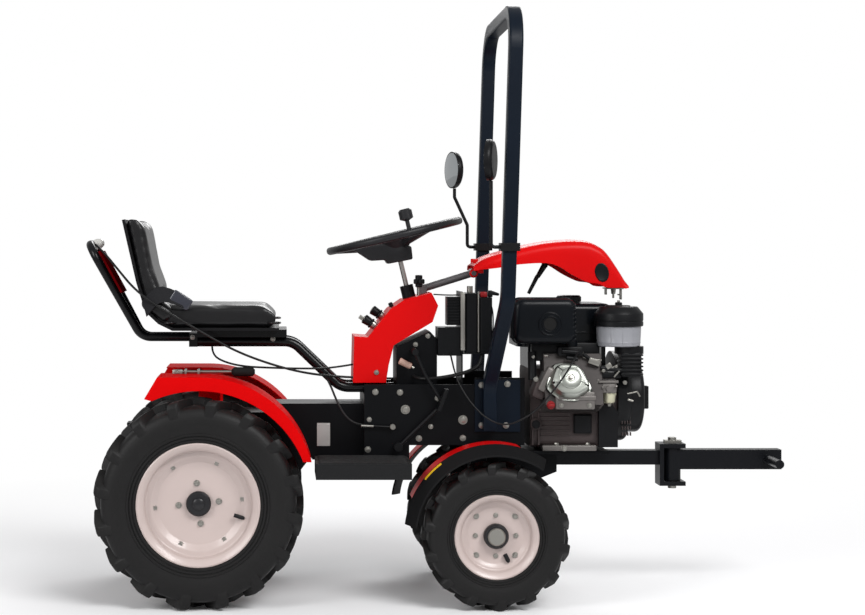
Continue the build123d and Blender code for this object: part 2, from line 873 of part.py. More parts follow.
def steering_wheel():
    """Rim, three spokes, the cowl under them and the spinner knob."""
    grip = Pos(rim_ring_radius, 0) * RectangleRounded(2 * rim_tube_radius, 2 * grip_half_height, grip_round)
    wheel = revolve(Plane.XZ * grip, axis=Axis.Z)
    for angle in spoke_pattern(spoke_count, first_spoke_angle):
        arm = rod((0, 0, spoke_radius - cowl_depth), (rim_ring_radius, 0, 0), spoke_radius)
        wheel += Rot(0, 0, angle) * arm
    wheel += Pos(0, 0, -cowl_depth / 2) * Cone(cowl_low_radius, cowl_top_radius, cowl_depth)
    knob_low = spinner_rise
    outline = [
        (0, 0),
        (spinner_stem_radius, 0),
        (spinner_stem_radius, knob_low),
        (spinner_radius, knob_low + spinner_round),
        (spinner_radius, knob_low + spinner_height - spinner_round),
        (spinner_radius - spinner_round, knob_low + spinner_height),
        (0, knob_low + spinner_height),
    ]
    knob = revolve(Plane.XZ * polygon(outline), axis=Axis.Z)
    wheel += Rot(0, 0, spinner_angle) * Pos(rim_ring_radius, 0, 0) * knob
    return steering_plane() * wheel


def steering_shaft():
    """Shaft from the cowl down into the collar."""
    return rod(on_column(cowl_depth), on_column(column_length - overrun / 4), shaft_radius)


# Controls on the console: switch box, choke knob and throttle star knob
switch_box_x = (-198.0, -158.0)
switch_box_rise = 30.0
switch_box_half = 45.0
star_foot_x = -46.0
star_knob_z = 896.0
star_y = -45.0
star_rod_radius = 4.0
star_radius = 17.0
star_thick = 14.0


def console_height(x):
    """Height of the console's top outline over one x."""
    tops = console_points()[1:7]
    for (x0, z0), (x1, z1) in zip(tops, tops[1:]):
        if x0 <= x <= x1:
            return z0 + (z1 - z0) * (x - x0) / (x1 - x0)
    return console_top_z


def console_controls():
    """A switch box on the console's rear slope and a star knob on a thin rod."""
    low_x, high_x = switch_box_x
    top_z = console_height(high_x) + switch_box_rise
    box = block((low_x, high_x), (-switch_box_half, switch_box_half), (console_height(low_x) - overrun, top_z))
    box = (box - console_solid).solids().sort_by(Axis.Z)[-1]
    foot = (star_foot_x, star_y, console_height(star_foot_x) - star_rod_radius)
    stem = rod(foot, (star_foot_x, star_y, star_knob_z), star_rod_radius) - console_solid
    stem = stem.solids().sort_by(Axis.Z)[-1] + Pos(star_foot_x, star_y, star_knob_z) * Cylinder(star_radius, star_thick)
    return Compound([box, stem.solid()])


# Hood on its stay
hood_rear_x = 106.0
hood_front_x = 544.0
hood_low_z = 868.0
hood_top_z = 1005.0
hood_half = 95.0
hood_wall = 3.0
hood_run = hood_front_x - hood_rear_x
hood_rise = hood_top_z - hood_low_z
# Side view as shares of the length, from the rear, and of the height, from the lowest edge
hood_top_shares = [
    (0.0, 0.47),
    (0.05, 0.61),
    (0.43, 0.94),
    (0.60, 0.995),
    (0.73, 0.995),
    (0.83, 0.81),
    (1.0, 0.06),
]
hood_edge_shares = [
    (1.0, 0.0),
    (0.85, 0.0),
    (0.81, 0.085),
    (0.735, 0.10),
    (0.63, 0.27),
    (0.545, 0.44),
    (0.47, 0.505),
    (0.265, 0.47),
    (0.16, 0.41),
    (0.03, 0.37),
]
hood_round = 22.0
# Edges steeper than this share of upright stay sharp
hood_steep_share = 0.93
side_tolerance = 0.001
hinge_x = 112.0
hinge_z = 908.0
hinge_radius = 7.0
hinge_barrel_half = 30.0
hinge_ear = 5.0
hinge_ear_radius = 14.0
stay_radius = 10.5
stay_foot_x = -34.0
stay_lift = 14.0
stay_foot_margin = 3.0
barrel_radius = 13.0


def hood_points(shares):
    """Side-view points of the hood from shares of its length and height."""
    return [(hood_rear_x + along * hood_run, hood_low_z + up * hood_rise) for along, up in shares]


def hood_cap(inset, half, drop):
    """Solid under the hood's top line, drawn in by an inset and carried down past the edge."""
    tops = hood_points(hood_top_shares)
    low_z = hood_low_z - drop
    points = [(tops[0][0], low_z)] + tops + [(tops[-1][0], low_z)]
    face = polygon(points)
    if inset:
        face = offset(face, -inset, kind=Kind.INTERSECTION)
    return side_prism(face, -half, half)


def hood_crest(cap, half):
    """Long edges along the top of a hood solid, on both of its sides."""
    return [
        edge
        for edge in cap.edges().filter_by(Axis.Y, reverse=True)
        if edge.center().Z > hood_low_z
        and abs(abs(edge.center().Y) - half) < side_tolerance
        and abs((edge % 0.5).Z) < hood_steep_share
    ]


def hood():
    """Pressed cover, open below, notched behind for its stay, with two ears for the hinge pin."""
    outer = hood_cap(0, hood_half, overrun * 2)
    outer = fillet(hood_crest(outer, hood_half), hood_round)
    inner = hood_cap(hood_wall, hood_half - hood_wall, overrun * 4)
    inner = fillet(hood_crest(inner, hood_half - hood_wall), hood_round - hood_wall)
    shell = outer - inner
    edge_points = hood_points(hood_edge_shares)
    below = [(hood_front_x + overrun, hood_low_z)] + edge_points
    below += [(hood_rear_x - overrun, edge_points[-1][1])]
    below += [(hood_rear_x - overrun, hood_low_z - overrun * 3), (hood_front_x + overrun, hood_low_z - overrun * 3)]
    shell -= side_prism(polygon(below), -hood_half - overrun, hood_half + overrun)
    notch_half = hinge_barrel_half + hood_wall
    notch_x = (hood_rear_x - overrun, hood_rear_x + hood_wall * 2)
    shell -= block(notch_x, (-notch_half, notch_half), (hood_low_z, hood_points(hood_top_shares)[0][1]))
    ear_low_y = hinge_barrel_half + seat_gap
    for side in (-1, 1):
        ys = sorted((side * ear_low_y, side * (ear_low_y + hinge_ear)))
        ear = rod((hinge_x, ys[0], hinge_z), (hinge_x, ys[1], hinge_z), hinge_ear_radius)
        top_z = hood_points(hood_top_shares)[1][1] - hood_wall / 2
        web = block((hinge_x, hinge_x + hinge_ear_radius * 2), tuple(ys), (hinge_z, top_z))
        ear = ear + web
        ear -= rod((hinge_x, ys[0] - overrun, hinge_z), (hinge_x, ys[1] + overrun, hinge_z), hinge_radius + seat_gap)
        shell += ear
    return shell


def hood_stay():
    """Tube from the console's top to the hood's hinge barrel, with the hinge pin."""
    foot_z = console_height(stay_foot_x)
    half = stay_radius + stay_foot_margin
    foot = side_prism(
        polygon(
            [
                (stay_foot_x - half, console_height(stay_foot_x - half) + seat_gap),
                (stay_foot_x + half, console_height(stay_foot_x + half) + seat_gap),
                (stay_foot_x + half, foot_z + stay_lift + half),
                (stay_foot_x - half, foot_z + stay_lift + half),
            ]
        ),
        -half,
        half,
    )
    tube = rod((stay_foot_x, 0, foot_z + stay_lift), (hinge_x, 0, hinge_z), stay_radius)
    barrel = rod((hinge_x, -hinge_barrel_half, hinge_z), (hinge_x, hinge_barrel_half, hinge_z), barrel_radius)
    pin_half = hinge_barrel_half + hinge_ear * 2
    pin = rod((hinge_x, -pin_half, hinge_z), (hinge_x, pin_half, hinge_z), hinge_radius)
    return foot + tube + barrel + pin


# Hoop over the driver
hoop_size = 38.0
hoop_wall_round = 5.0
hoop_foot_x = 142.0
hoop_pad_thick = 5.0
hoop_foot_y = plate_outer_y + seat_gap + hoop_pad_thick + hoop_size / 2
hoop_foot_z = 472.0
hoop_kick_z = 600.0
hoop_knee_x = 173.0
hoop_knee_z = 837.0
hoop_half = 320.0
hoop_top_x = 198.0
hoop_top_z = 1630.0
hoop_corner = 110.0
hoop_knee = 90.0
hoop_pad_x = (103.0, 230.0)
hoop_pad_z = (466.0, 612.0)


def hoop():
    """Square tube from one foot over the driver to the other, swept as two halves that meet on top."""
    points = [
        (hoop_top_x, 0, hoop_top_z),
        (hoop_top_x, -hoop_half, hoop_top_z),
        (hoop_knee_x, -hoop_half, hoop_knee_z),
        (hoop_foot_x, -hoop_foot_y, hoop_kick_z),
        (hoop_foot_x, -hoop_foot_y, hoop_foot_z),
    ]
    path = FilletPolyline(*points, radius=[hoop_corner, hoop_knee, hoop_knee])
    lean = math.atan2(hoop_top_x - hoop_knee_x, hoop_top_z - hoop_knee_z)
    start = Plane(origin=points[0], x_dir=(math.cos(lean), 0, -math.sin(lean)), z_dir=(0, -1, 0))
    section = start * RectangleRounded(hoop_size, hoop_size, hoop_wall_round)
    half = sweep(section, path=path)
    pad_y = plate_outer_y + seat_gap
    half += block(hoop_pad_x, (-pad_y - hoop_pad_thick, -pad_y), hoop_pad_z)
    return half + left_of(half)


# Mirrors on clamps round the hoop's posts; the right wire is straight, the left one cranked to the rear
clamp_z = (972.0, 994.0)
clamp_wall = 7.0
mirror_wire_radius = 5.0
mirror_radius = 56.0
mirror_depth = 20.0
mirror_round = 12.0
mirror_centre_z = 1218.0
mirror_yaw = 17.0
right_mirror_x = 128.0
left_mirror_x = 91.0
left_crank_x = 130.0
left_crank_z = (1050.0, 1135.0)


def hoop_post_x(z):
    """The leaning post's middle at one height."""
    share = (z - hoop_knee_z) / (hoop_top_z - hoop_knee_z)
    return hoop_knee_x + share * (hoop_top_x - hoop_knee_x)


def mirror_arm(side, crank):
    """Clamp round one post, and the bent wire that carries its mirror; crank is the wire's upper points."""
    low_z, high_z = clamp_z
    middle_z = (low_z + high_z) / 2
    x, y = hoop_post_x(middle_z), side * hoop_half
    reach = hoop_size / 2 + clamp_wall
    opening = hoop_size / 2 + seat_gap * 2
    clamp = block((x - reach, x + reach), (y - reach, y + reach), clamp_z)
    clamp -= block((x - opening, x + opening), (y - opening, y + opening), (low_z - overrun, high_z + overrun))
    wire = [(x - reach + clamp_wall / 2, y, middle_z), (crank[0][0], y, middle_z)]
    wire += [(along, y, up) for along, up in crank]
    return clamp + bent_rod(wire, mirror_wire_radius * 2, mirror_wire_radius)


def mirror_head(side, x):
    """Round mirror with a domed back, turned a little towards the driver."""
    head = Cylinder(mirror_radius, mirror_depth)
    head = fillet(head.edges().sort_by(Axis.Z)[-1], mirror_round)
    return Pos(x, side * hoop_half, mirror_centre_z) * Rot(0, 0, side * mirror_yaw) * Rot(0, 90, 0) * head


def mirrors():
    """Both mirrors with their wires."""
    top_z = mirror_centre_z - mirror_radius - seat_gap
    right = [(right_mirror_x, top_z)]
    left = [(left_crank_x, left_crank_z[0]), (left_mirror_x, left_crank_z[1]), (left_mirror_x, top_z)]
    arms = [mirror_arm(-1, right), mirror_arm(1, left)]
    heads = [mirror_head(-1, right_mirror_x), mirror_head(1, left_mirror_x)]
    return Compound([part.solid() for part in arms + heads])


# Electrics between console and engine
bracket_plate_x = (69.0, 73.0)
bracket_plate_y = (-110.0, 40.0)
bracket_top_z = 857.0
shelf_z = (681.0, 685.0)
battery_x = (81.0, 116.0)
relay_x = (121.0, 157.0)
battery_y = (-105.0, 35.0)
battery_top_z = 852.0
relay_top_z = 840.0
battery_round = 6.0
box_x = (4.0, 68.7)
box_y = (-100.0, -10.0)
box_z = (676.0, 756.0)
regulator_y = (-95.0, -35.0)
regulator_x = (30.0, 68.7)
regulator_z = (762.0, 842.0)


def battery_bracket():
    """Upright plate that stands on the saddle, with a shelf for the battery."""
    plate = block(bracket_plate_x, bracket_plate_y, (saddle_top_z, bracket_top_z))
    shelf = block((bracket_plate_x[0], relay_x[1]), bracket_plate_y, shelf_z)
    return plate + shelf


def battery():
    """Two slim upright cases side by side on the shelf."""
    cases = []
    for case_span, top_z in ((battery_x, battery_top_z), (relay_x, relay_top_z)):
        case = block(case_span, battery_y, (shelf_z[1], top_z))
        cases.append(fillet(case.edges().filter_by(Axis.Z), battery_round).solid())
    return Compound(cases)


def control_boxes():
    """Controller and regulator, screwed to the bracket's rear."""
    return Compound([block(box_x, box_y, box_z).solid(), block(regulator_x, regulator_y, regulator_z).solid()])


# Pedal and linkage on the right, outside the side plate
pedal_y = -158.0
pedal_bar = 5.0
pedal_pivot = (-112.0, 425.0)
pedal_knee = (-4.0, 530.0)
pedal_pad_x = (-6.0, 26.0)
pedal_pad_z = (528.0, 588.0)
pedal_pad_half = 30.0
pedal_pad_thick = 10.0
pedal_boss_radius = 12.0
pedal_hanger = [(-65.0, 690.0), (-37.0, 626.0), (6.0, 556.0)]
pedal_hanger_bend = 25.0
pedal_hanger_boss = 9.0


def pedal():
    """Foot pedal: a boss on the side plate, a rising arm, a hanger from the console's frame and a tilted pad."""
    boss_end = -plate_outer_y - seat_gap
    arm_y = pedal_y - pedal_bar
    x, z = pedal_pivot
    part = rod((x, boss_end, z), (x, arm_y - 2 * pedal_bar, z), pedal_boss_radius)
    part += rod((x, arm_y, z), (pedal_knee[0], arm_y, pedal_knee[1]), pedal_bar)
    pad = side_prism(
        polygon(
            [
                (pedal_pad_x[0], pedal_pad_z[0]),
                (pedal_pad_x[0] + pedal_pad_thick, pedal_pad_z[0]),
                (pedal_pad_x[1], pedal_pad_z[1]),
                (pedal_pad_x[1] - pedal_pad_thick, pedal_pad_z[1]),
            ]
        ),
        arm_y - pedal_pad_half,
        arm_y + pedal_pad_half / 2,
    )
    hanger_x, hanger_z = pedal_hanger[0]
    boss = rod(
        (hanger_x, -console_frame_half - seat_gap, hanger_z),
        (hanger_x, arm_y - 2 * pedal_bar, hanger_z),
        pedal_hanger_boss,
    )
    hanger = bent_rod([(along, arm_y, up) for along, up in pedal_hanger], pedal_hanger_bend, pedal_bar)
    return part + pad + boss + hanger


# Lift lever on top of the right wing
lever_y = -150.0
lever_radius = 5.0
lever_foot_x = (-742.0, -712.0)
lever_foot_half = 12.0
lever_foot_height = 14.0
lever_rise = 5.5
lever_end_x = -512.0
grip_radius = 13.0
grip_length = 65.0


def lift_lever():
    """Rod from a pivot foot on the wing, forward along its top, with a foam grip."""
    wing_top_z = wing_centre_z + wing_radius
    foot_low_z = wing_top_z + seat_gap
    foot_y = (lever_y - lever_foot_half, lever_y + lever_foot_half)
    foot = block(lever_foot_x, foot_y, (foot_low_z, foot_low_z + lever_foot_height))
    z = wing_top_z + lever_rise
    rod_end_x = lever_end_x - grip_length
    bar = rod((lever_foot_x[0], lever_y, z), (rod_end_x, lever_y, z), lever_radius)
    grip = rod((rod_end_x + seat_gap, lever_y, z), (lever_end_x, lever_y, z), grip_radius)
    grip = fillet(grip.edges(), grip_radius / 3)
    return Compound([(foot + bar).solid(), grip.solid()])


# Engine: single cylinder lying to the right, crankshaft fore and aft
crank_y = 0.0
crank_z = 556.0
bed_x = (246.0, 484.0)
bed_half = 112.0
bed_top_z = 408.0
foot_x = (300.0, 450.0)
foot_half = 96.0
foot_top_z = 424.0
case_x = (262.0, 508.0)
case_y = (-112.0, 112.0)
case_top_z = 640.0
case_round = 24.0
cylinder_tilt = 18.0
cylinder_x = (292.0, 452.0)
cylinder_root = 80.0
cylinder_end = 196.0
cylinder_core = 92.0
fin_size = 146.0
fin_count = 8
fin_thick = 3.0
cover_length = 36.0
cover_width = 127.0
cover_height = 108.0
cover_round = 30.0
cover_disc_radius = 30.0
cover_disc_rise = 4.0


def engine_bed():
    """Plate under the engine, on the frame's nose."""
    return block(bed_x, (-bed_half, bed_half), (nose_top_z, bed_top_z))


def crankcase_body():
    """Cast crankcase with its mounting feet."""
    case = block(case_x, case_y, (foot_top_z - overrun / 4, case_top_z))
    case = fillet(case.edges().filter_by(Axis.X), case_round)
    return case + block(foot_x, (-foot_half, foot_half), (bed_top_z, foot_top_z))


crankcase_solid = crankcase_body()


def cylinder_plane():
    """Plane across the cylinder's axis, at the crankshaft, its z towards the valve cover."""
    tilt = math.radians(cylinder_tilt)
    middle_x = (cylinder_x[0] + cylinder_x[1]) / 2
    return Plane(
        origin=(middle_x, crank_y, crank_z), x_dir=(1, 0, 0), z_dir=(0, -math.cos(tilt), math.sin(tilt))
    )


def cylinder_block():
    """Cylinder and head with cooling fins all round."""
    length = cylinder_end - cylinder_root
    core = Pos(0, 0, cylinder_root + length / 2) * Box(cylinder_core, cylinder_core, length)
    pitch = length / fin_count
    width = cylinder_x[1] - cylinder_x[0]
    for index in range(fin_count):
        height = cylinder_end - fin_thick / 2 - index * pitch
        core += Pos(0, 0, height) * Box(width, fin_size, fin_thick)
    placed = cylinder_plane() * core - crankcase_solid
    return placed.solids().sort_by(SortBy.VOLUME)[-1]


def valve_cover():
    """Pressed cover on the head, with a raised disc."""
    middle = cylinder_end + cover_length / 2
    cover = Pos(0, 0, middle) * Box(cover_width, cover_height, cover_length)
    cover = fillet(cover.edges().filter_by(Axis.Z), cover_round)
    top = cover.faces().sort_by(Axis.Z)[-1]
    cover = fillet(top.edges(), cover_round / 4)
    disc_height = cylinder_end + cover_length + cover_disc_rise / 2
    cover += Pos(0, 0, disc_height) * Cylinder(cover_disc_radius, cover_disc_rise)
    return cylinder_plane() * cover


# Engine front: fan housing and pull starter
fan_radius = 128.0
fan_x = (case_x[1], 548.0)
starter_radius = 104.0
starter_front_x = 590.0
starter_round = 16.0
vent_radius = 60.0
vent_count = 12
vent_slot = (12.0, 34.0)
handle_x = (590.3, 609.0)
handle_y = -40.0
handle_z = (522.0, 587.0)
handle_half = 11.0


def fan_housing():
    """Round housing over the flywheel."""
    drum = rod((fan_x[0], crank_y, crank_z), (fan_x[1], crank_y, crank_z), fan_radius)
    return fillet(drum.edges().sort_by(Axis.X)[-1], starter_round)


# Side shroud beside the crankcase under the carburettor, and a small box on the crankcase's side
shroud_points = [(452.6, 421.0), (506.0, 421.0), (506.0, 522.0), (490.0, 540.0), (452.6, 540.0)]
shroud_depth = 18.0
module_x = (384.0, 434.0)
module_z = (459.0, 512.0)
module_depth = 12.0


def engine_shroud():
    """Folded shroud that closes the housing towards the carburettor."""
    near_y = case_y[0] - seat_gap
    return side_prism(polygon(shroud_points), near_y - shroud_depth, near_y)


def engine_module():
    """Ignition module on the crankcase's side."""
    near_y = case_y[0] - seat_gap
    module = block(module_x, (near_y - module_depth, near_y), module_z)
    return chamfer(module.faces().sort_by(Axis.Y)[0].edges(), module_depth / 4)


def pull_starter():
    """Starter cover with a ring of air slots, and its handle."""
    drum = rod((fan_x[1], crank_y, crank_z), (starter_front_x, crank_y, crank_z), starter_radius)
    drum = fillet(drum.edges().sort_by(Axis.X)[-1], starter_round)
    front = Plane(origin=(starter_front_x, crank_y, crank_z), x_dir=(0, 1, 0), z_dir=(1, 0, 0))
    for angle in spoke_pattern(vent_count):
        slot = Box(vent_slot[1], vent_slot[0], overrun)
        drum -= front * Rot(0, 0, angle) * Pos(vent_radius, 0, 0) * slot
    return drum


def pull_handle():
    """Handle that rests on the starter's face."""
    grip = block(handle_x, (handle_y - handle_half, handle_y + handle_half), handle_z)
    return fillet(grip.edges().filter_by(Axis.X, reverse=True), handle_half / 3)


# Silencer, fuel tank and air cleaner
silencer_x = (213.0, 380.0)
silencer_y = (-222.0, -98.0)
silencer_z = (716.0, 840.0)
silencer_round = 18.0
pipe_radius = 17.0
pipe_y = -150.0
tank_x = (232.0, 500.0)
tank_y = (-84.0, 150.0)
tank_z = (700.0, 822.0)
tank_round = 34.0
tank_seam = 4.0
tank_seam_z = 741.0
tank_leg_x = ((262.0, 274.0), (470.0, 482.0))
tank_leg_y = (-70.0, 100.0)
cap_radius = 34.0
cap_height = 22.0
cap_x = 392.0
cap_y = 20.0
cleaner_x = 505.0
cleaner_y = -146.0
cleaner_cap_radius = 68.0
cleaner_cap_z = (762.0, 818.0)
cleaner_bowl_radius = 62.0
cleaner_bowl_z = (706.0, 762.0)
cleaner_ring_radius = 40.0
cleaner_neck_radius = 27.0
cleaner_neck_z = (622.0, 706.0)
neck_x = 534.0
carb_x = (cylinder_x[1] + seat_gap, 522.0)
carb_y = (-186.0, -131.0)
carb_z = (548.0, 622.0)
bowl_radius = 24.0
bowl_drop = 24.0


def silencer():
    """Pressed silencer box with its outlet, on a short pipe from the head."""
    box = block(silencer_x, silencer_y, silencer_z)
    box = fillet(box.edges().filter_by(Axis.Y), silencer_round)
    middle_x = (cylinder_x[0] + cylinder_x[1]) / 2
    pipe = rod((middle_x, pipe_y, crank_z), (middle_x, pipe_y, silencer_z[0] + overrun / 2), pipe_radius)
    pipe -= cylinder_plane() * Pos(0, 0, cylinder_end / 2) * Box(
        cylinder_x[1] - cylinder_x[0], fin_size + 2 * seat_gap, cylinder_end + overrun
    )
    pipe = pipe.solids().sort_by(Axis.Z)[-1]
    return box + pipe


def fuel_tank():
    """Pressed tank with its seam flange and the two straps that stand on the crankcase."""
    body = block(tank_x, tank_y, tank_z)
    body = fillet(body.edges().filter_by(Axis.Z), tank_round)
    body = fillet(body.faces().sort_by(Axis.Z)[-1].edges(), tank_round / 2)
    seam = block(
        (tank_x[0] - tank_seam, tank_x[1] + tank_seam),
        (tank_y[0] - tank_seam, tank_y[1] + tank_seam),
        (tank_seam_z - tank_seam / 2, tank_seam_z + tank_seam / 2),
    )
    seam = fillet(seam.edges().filter_by(Axis.Z), tank_round + tank_seam)
    body += seam
    for leg_x in tank_leg_x:
        body += block(leg_x, tank_leg_y, (case_top_z, tank_z[0] + overrun / 4))
    return body


def tank_cap():
    """Filler cap."""
    top = tank_z[1]
    cap = rod((cap_x, cap_y, top), (cap_x, cap_y, top + cap_height), cap_radius)
    return fillet(cap.edges().sort_by(Axis.Z)[-1], cap_height / 4)


def cleaner_cap():
    """Lid of the air cleaner, with a chamfered top."""
    low, high = cleaner_cap_z
    lid = rod((cleaner_x, cleaner_y, low), (cleaner_x, cleaner_y, high), cleaner_cap_radius)
    return chamfer(lid.edges().sort_by(Axis.Z)[-1], (high - low) / 4)


def cleaner_bowl():
    """Clear dust bowl under the lid."""
    low, high = cleaner_bowl_z
    return rod((cleaner_x, cleaner_y, low), (cleaner_x, cleaner_y, high), cleaner_bowl_radius)


def carburettor_body():
    """Carburettor body against the cylinder, with its float bowl."""
    body = block(carb_x, carb_y, carb_z)
    body = fillet(body.edges().filter_by(Axis.X), cover_round / 4)
    middle_x, middle_y = sum(carb_x) / 2, sum(carb_y) / 2
    return body + rod((middle_x, middle_y, carb_z[0] - bowl_drop), (middle_x, middle_y, carb_z[0]), bowl_radius)


def cleaner_neck():
    """Ribbed neck from the bowl down to the carburettor, with a clamp ring."""
    low, high = cleaner_neck_z
    ring_low = high - (high - low) / 4
    neck = rod((neck_x, cleaner_y, low), (neck_x, cleaner_y, high), cleaner_neck_radius)
    neck += rod((neck_x, cleaner_y, ring_low), (neck_x, cleaner_y, high), cleaner_ring_radius)
    return neck


# Front drawbar, its clevis, and the swinging bar with the cross pin
tube_half = 20.0
tube_front_x = 656.0
tube_z = (358.0, 400.0)
clevis_front_x = 718.0
clevis_half = 34.0
clevis_z = (300.0, 408.0)
clevis_plate = 12.0
swing_x = 686.0
swing_pin_radius = 12.0
swing_pin_z = (290.0, 436.0)
clip_x = (663.0, 711.0)
clip_height = 8.0
swing_end_x = 995.0
arm_z = (346.0, 402.0)
arm_width = 22.0
swing_boss_radius = 24.0
swing_boss_gap = 1.0
cross_pin_x = 955.0
cross_pin_z = 375.0
cross_pin_radius = 12.5
cross_pin_half = 150.0


def front_drawbar():
    """Square tube from the frame's nose to a clevis with top and bottom plates."""
    bar = block((nose_front_x, tube_front_x), (-tube_half, tube_half), (nose_low_z, nose_top_z))
    low, high = clevis_z
    bar += block((tube_front_x - clevis_plate, tube_front_x), (-clevis_half, clevis_half), (low, high + clevis_plate))
    for plate_z in ((low, low + clevis_plate), (high, high + clevis_plate)):
        bar += block((tube_front_x, clevis_front_x), (-clevis_half, clevis_half), plate_z)
    hole = rod((swing_x, 0, low - overrun), (swing_x, 0, high + clevis_plate + overrun), swing_pin_radius + seat_gap)
    return bar - hole


def swing_pin():
    """Upright coupling pin with its clip on top."""
    low, high = swing_pin_z
    clip_z = clevis_z[1] + clevis_plate + seat_gap
    pin = rod((swing_x, 0, low), (swing_x, 0, high), swing_pin_radius)
    pin += block(clip_x, (-swing_pin_radius, swing_pin_radius), (clip_z, clip_z + clip_height))
    return pin


def swing_bar():
    """Bar that swings about the coupling pin and carries the implement's cross pin."""
    bar = block((swing_x, swing_end_x), (-arm_width, arm_width), arm_z)
    boss_z = (clevis_z[0] + clevis_plate + swing_boss_gap, clevis_z[1] - swing_boss_gap)
    bar += rod((swing_x, 0, boss_z[0]), (swing_x, 0, boss_z[1]), swing_boss_radius)
    bar -= rod((swing_x, 0, boss_z[0] - overrun), (swing_x, 0, boss_z[1] + overrun), swing_pin_radius + seat_gap)
    pin_low, pin_high = (cross_pin_x, -cross_pin_half, cross_pin_z), (cross_pin_x, cross_pin_half, cross_pin_z)
    return bar + rod(pin_low, pin_high, cross_pin_radius)


right_tyres = {"rear": tyre(rear_wheel), "front": tyre(front_wheel)}
right_rims = {"rear": rim(rear_wheel), "front": rim(front_wheel)}
right_knuckle, right_guard, right_lip = knuckle(), front_guard(), guard_lip()

nodes = {
    "spine_frame": spine(),
    "side_plates": side_plates(),
    "gearbox": gearbox(),
    "rear_hitch": rear_hitch(),
    "front_axle": front_axle(),
    "tie_rod": tie_rod(),
    "rear_wings": pair(rear_wing()),
    "footboards": pair(footboard()),
    "seat_rails": seat_rails(),
    "guard_loop": guard_loop(),
    "rear_lights": Compound([rear_reflector().solid(), rear_lamp().solid()]),
    "seat_base": seat_base(),
    "seat_shell": seat_shell(),
    "seat_cushion": seat_cushion(),
    "seat_backrest": seat_backrest(),
    "console": console(),
    "console_frame": console_frame(),
    "column_collar": column_collar(),
    "console_controls": console_controls(),
    "steering_wheel": steering_wheel(),
    "steering_shaft": steering_shaft(),
    "hood": hood(),
    "hood_stay": hood_stay(),
    "safety_hoop": hoop(),
    "mirrors": mirrors(),
    "battery_bracket": battery_bracket(),
    "battery": battery(),
    "control_boxes": control_boxes(),
    "pedal": pedal(),
    "lift_lever": lift_lever(),
    "engine_bed": engine_bed(),
    "crankcase": crankcase_solid,
    "cylinder_block": cylinder_block(),
    "valve_cover": valve_cover(),
    "fan_housing": Compound([part.solid() for part in (fan_housing(), engine_shroud(), engine_module())]),
    "pull_starter": Compound([pull_starter().solid(), pull_handle().solid()]),
    "silencer": silencer(),
    "fuel_tank": fuel_tank() + tank_cap(),
    "cleaner_cap": cleaner_cap(),
    "cleaner_bowl": cleaner_bowl(),
    "cleaner_neck": cleaner_neck(),
    "carburettor": carburettor_body(),
    "front_drawbar": front_drawbar(),
    "swing_pin": swing_pin(),
    "swing_bar": swing_bar(),
    "knuckle_right": right_knuckle,
    "knuckle_left": left_of(right_knuckle),
    "front_guard_right": right_guard,
    "front_guard_left": left_of(right_guard),
    "guard_lip_right": right_lip,
    "guard_lip_left": left_of(right_lip),
}
for axle in ("rear", "front"):
    nodes[f"{axle}_tyre_right"] = right_tyres[axle]
    nodes[f"{axle}_tyre_left"] = left_of(right_tyres[axle])
    nodes[f"{axle}_rim_right"] = right_rims[axle]
    nodes[f"{axle}_rim_left"] = left_of(right_rims[axle])

os.makedirs("parts", exist_ok=True)
for name, part in nodes.items():
    export_step(part, f"parts/{name}.step")
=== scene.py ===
import math

import bmesh
import bpy
from mathutils import Matrix, Vector


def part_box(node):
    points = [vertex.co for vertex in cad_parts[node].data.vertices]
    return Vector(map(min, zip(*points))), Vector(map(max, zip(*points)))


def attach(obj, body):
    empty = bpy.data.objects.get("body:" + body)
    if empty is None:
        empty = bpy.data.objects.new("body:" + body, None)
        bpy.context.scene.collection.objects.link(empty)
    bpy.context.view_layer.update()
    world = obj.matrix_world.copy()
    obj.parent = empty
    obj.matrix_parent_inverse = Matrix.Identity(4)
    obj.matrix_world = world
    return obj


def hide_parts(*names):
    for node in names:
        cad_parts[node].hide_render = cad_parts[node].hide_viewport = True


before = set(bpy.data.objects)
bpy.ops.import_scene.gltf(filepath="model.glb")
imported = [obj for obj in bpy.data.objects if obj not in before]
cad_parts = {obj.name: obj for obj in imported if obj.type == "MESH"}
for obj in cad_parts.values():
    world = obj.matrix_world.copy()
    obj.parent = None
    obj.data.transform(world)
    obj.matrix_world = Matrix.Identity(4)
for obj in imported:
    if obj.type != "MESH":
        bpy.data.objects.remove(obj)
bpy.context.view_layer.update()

# The stage: a pale floor that fades to white with distance, a white surround, and soft lamps above
# and in front. The camera stands on the right-hand side at the height of the driver's chest.
CAMERA_PLACE = (-0.442, -5.2, 0.983)
FOCAL_PIXELS = 1807.0
PICTURE_SIZE = (865.0, 615.0)
LEVEL_POINT = (280.0, 247.0)
SENSOR_WIDTH = 36.0
FLOOR_SIZE = 60.0
FLOOR_COLOUR = (0.93, 0.93, 0.94, 1.0)
WHITE = (1.0, 1.0, 1.0, 1.0)
SHADOW_REACH = (1.3, 2.9)
AMBIENT = 0.42
MIRRORED = 0.12
LAMPS = (
    # name, place, aimed at, width, height, watts
    ("key_lamp", (1.8, -3.4, 3.6), (0.0, 0.0, 0.7), 2.6, 1.6, 165.0),
    ("side_lamp", (-3.2, -3.0, 2.2), (-0.4, 0.0, 0.6), 1.6, 2.2, 70.0),
    ("back_lamp", (0.6, 3.6, 3.0), (0.0, 0.0, 0.8), 2.6, 1.6, 90.0),
)

scene = bpy.context.scene
scene.view_settings.view_transform = "Standard"



def linked(name, data):
    """New object in the scene."""
    made = bpy.data.objects.new(name, data)
    scene.collection.objects.link(made)
    return made


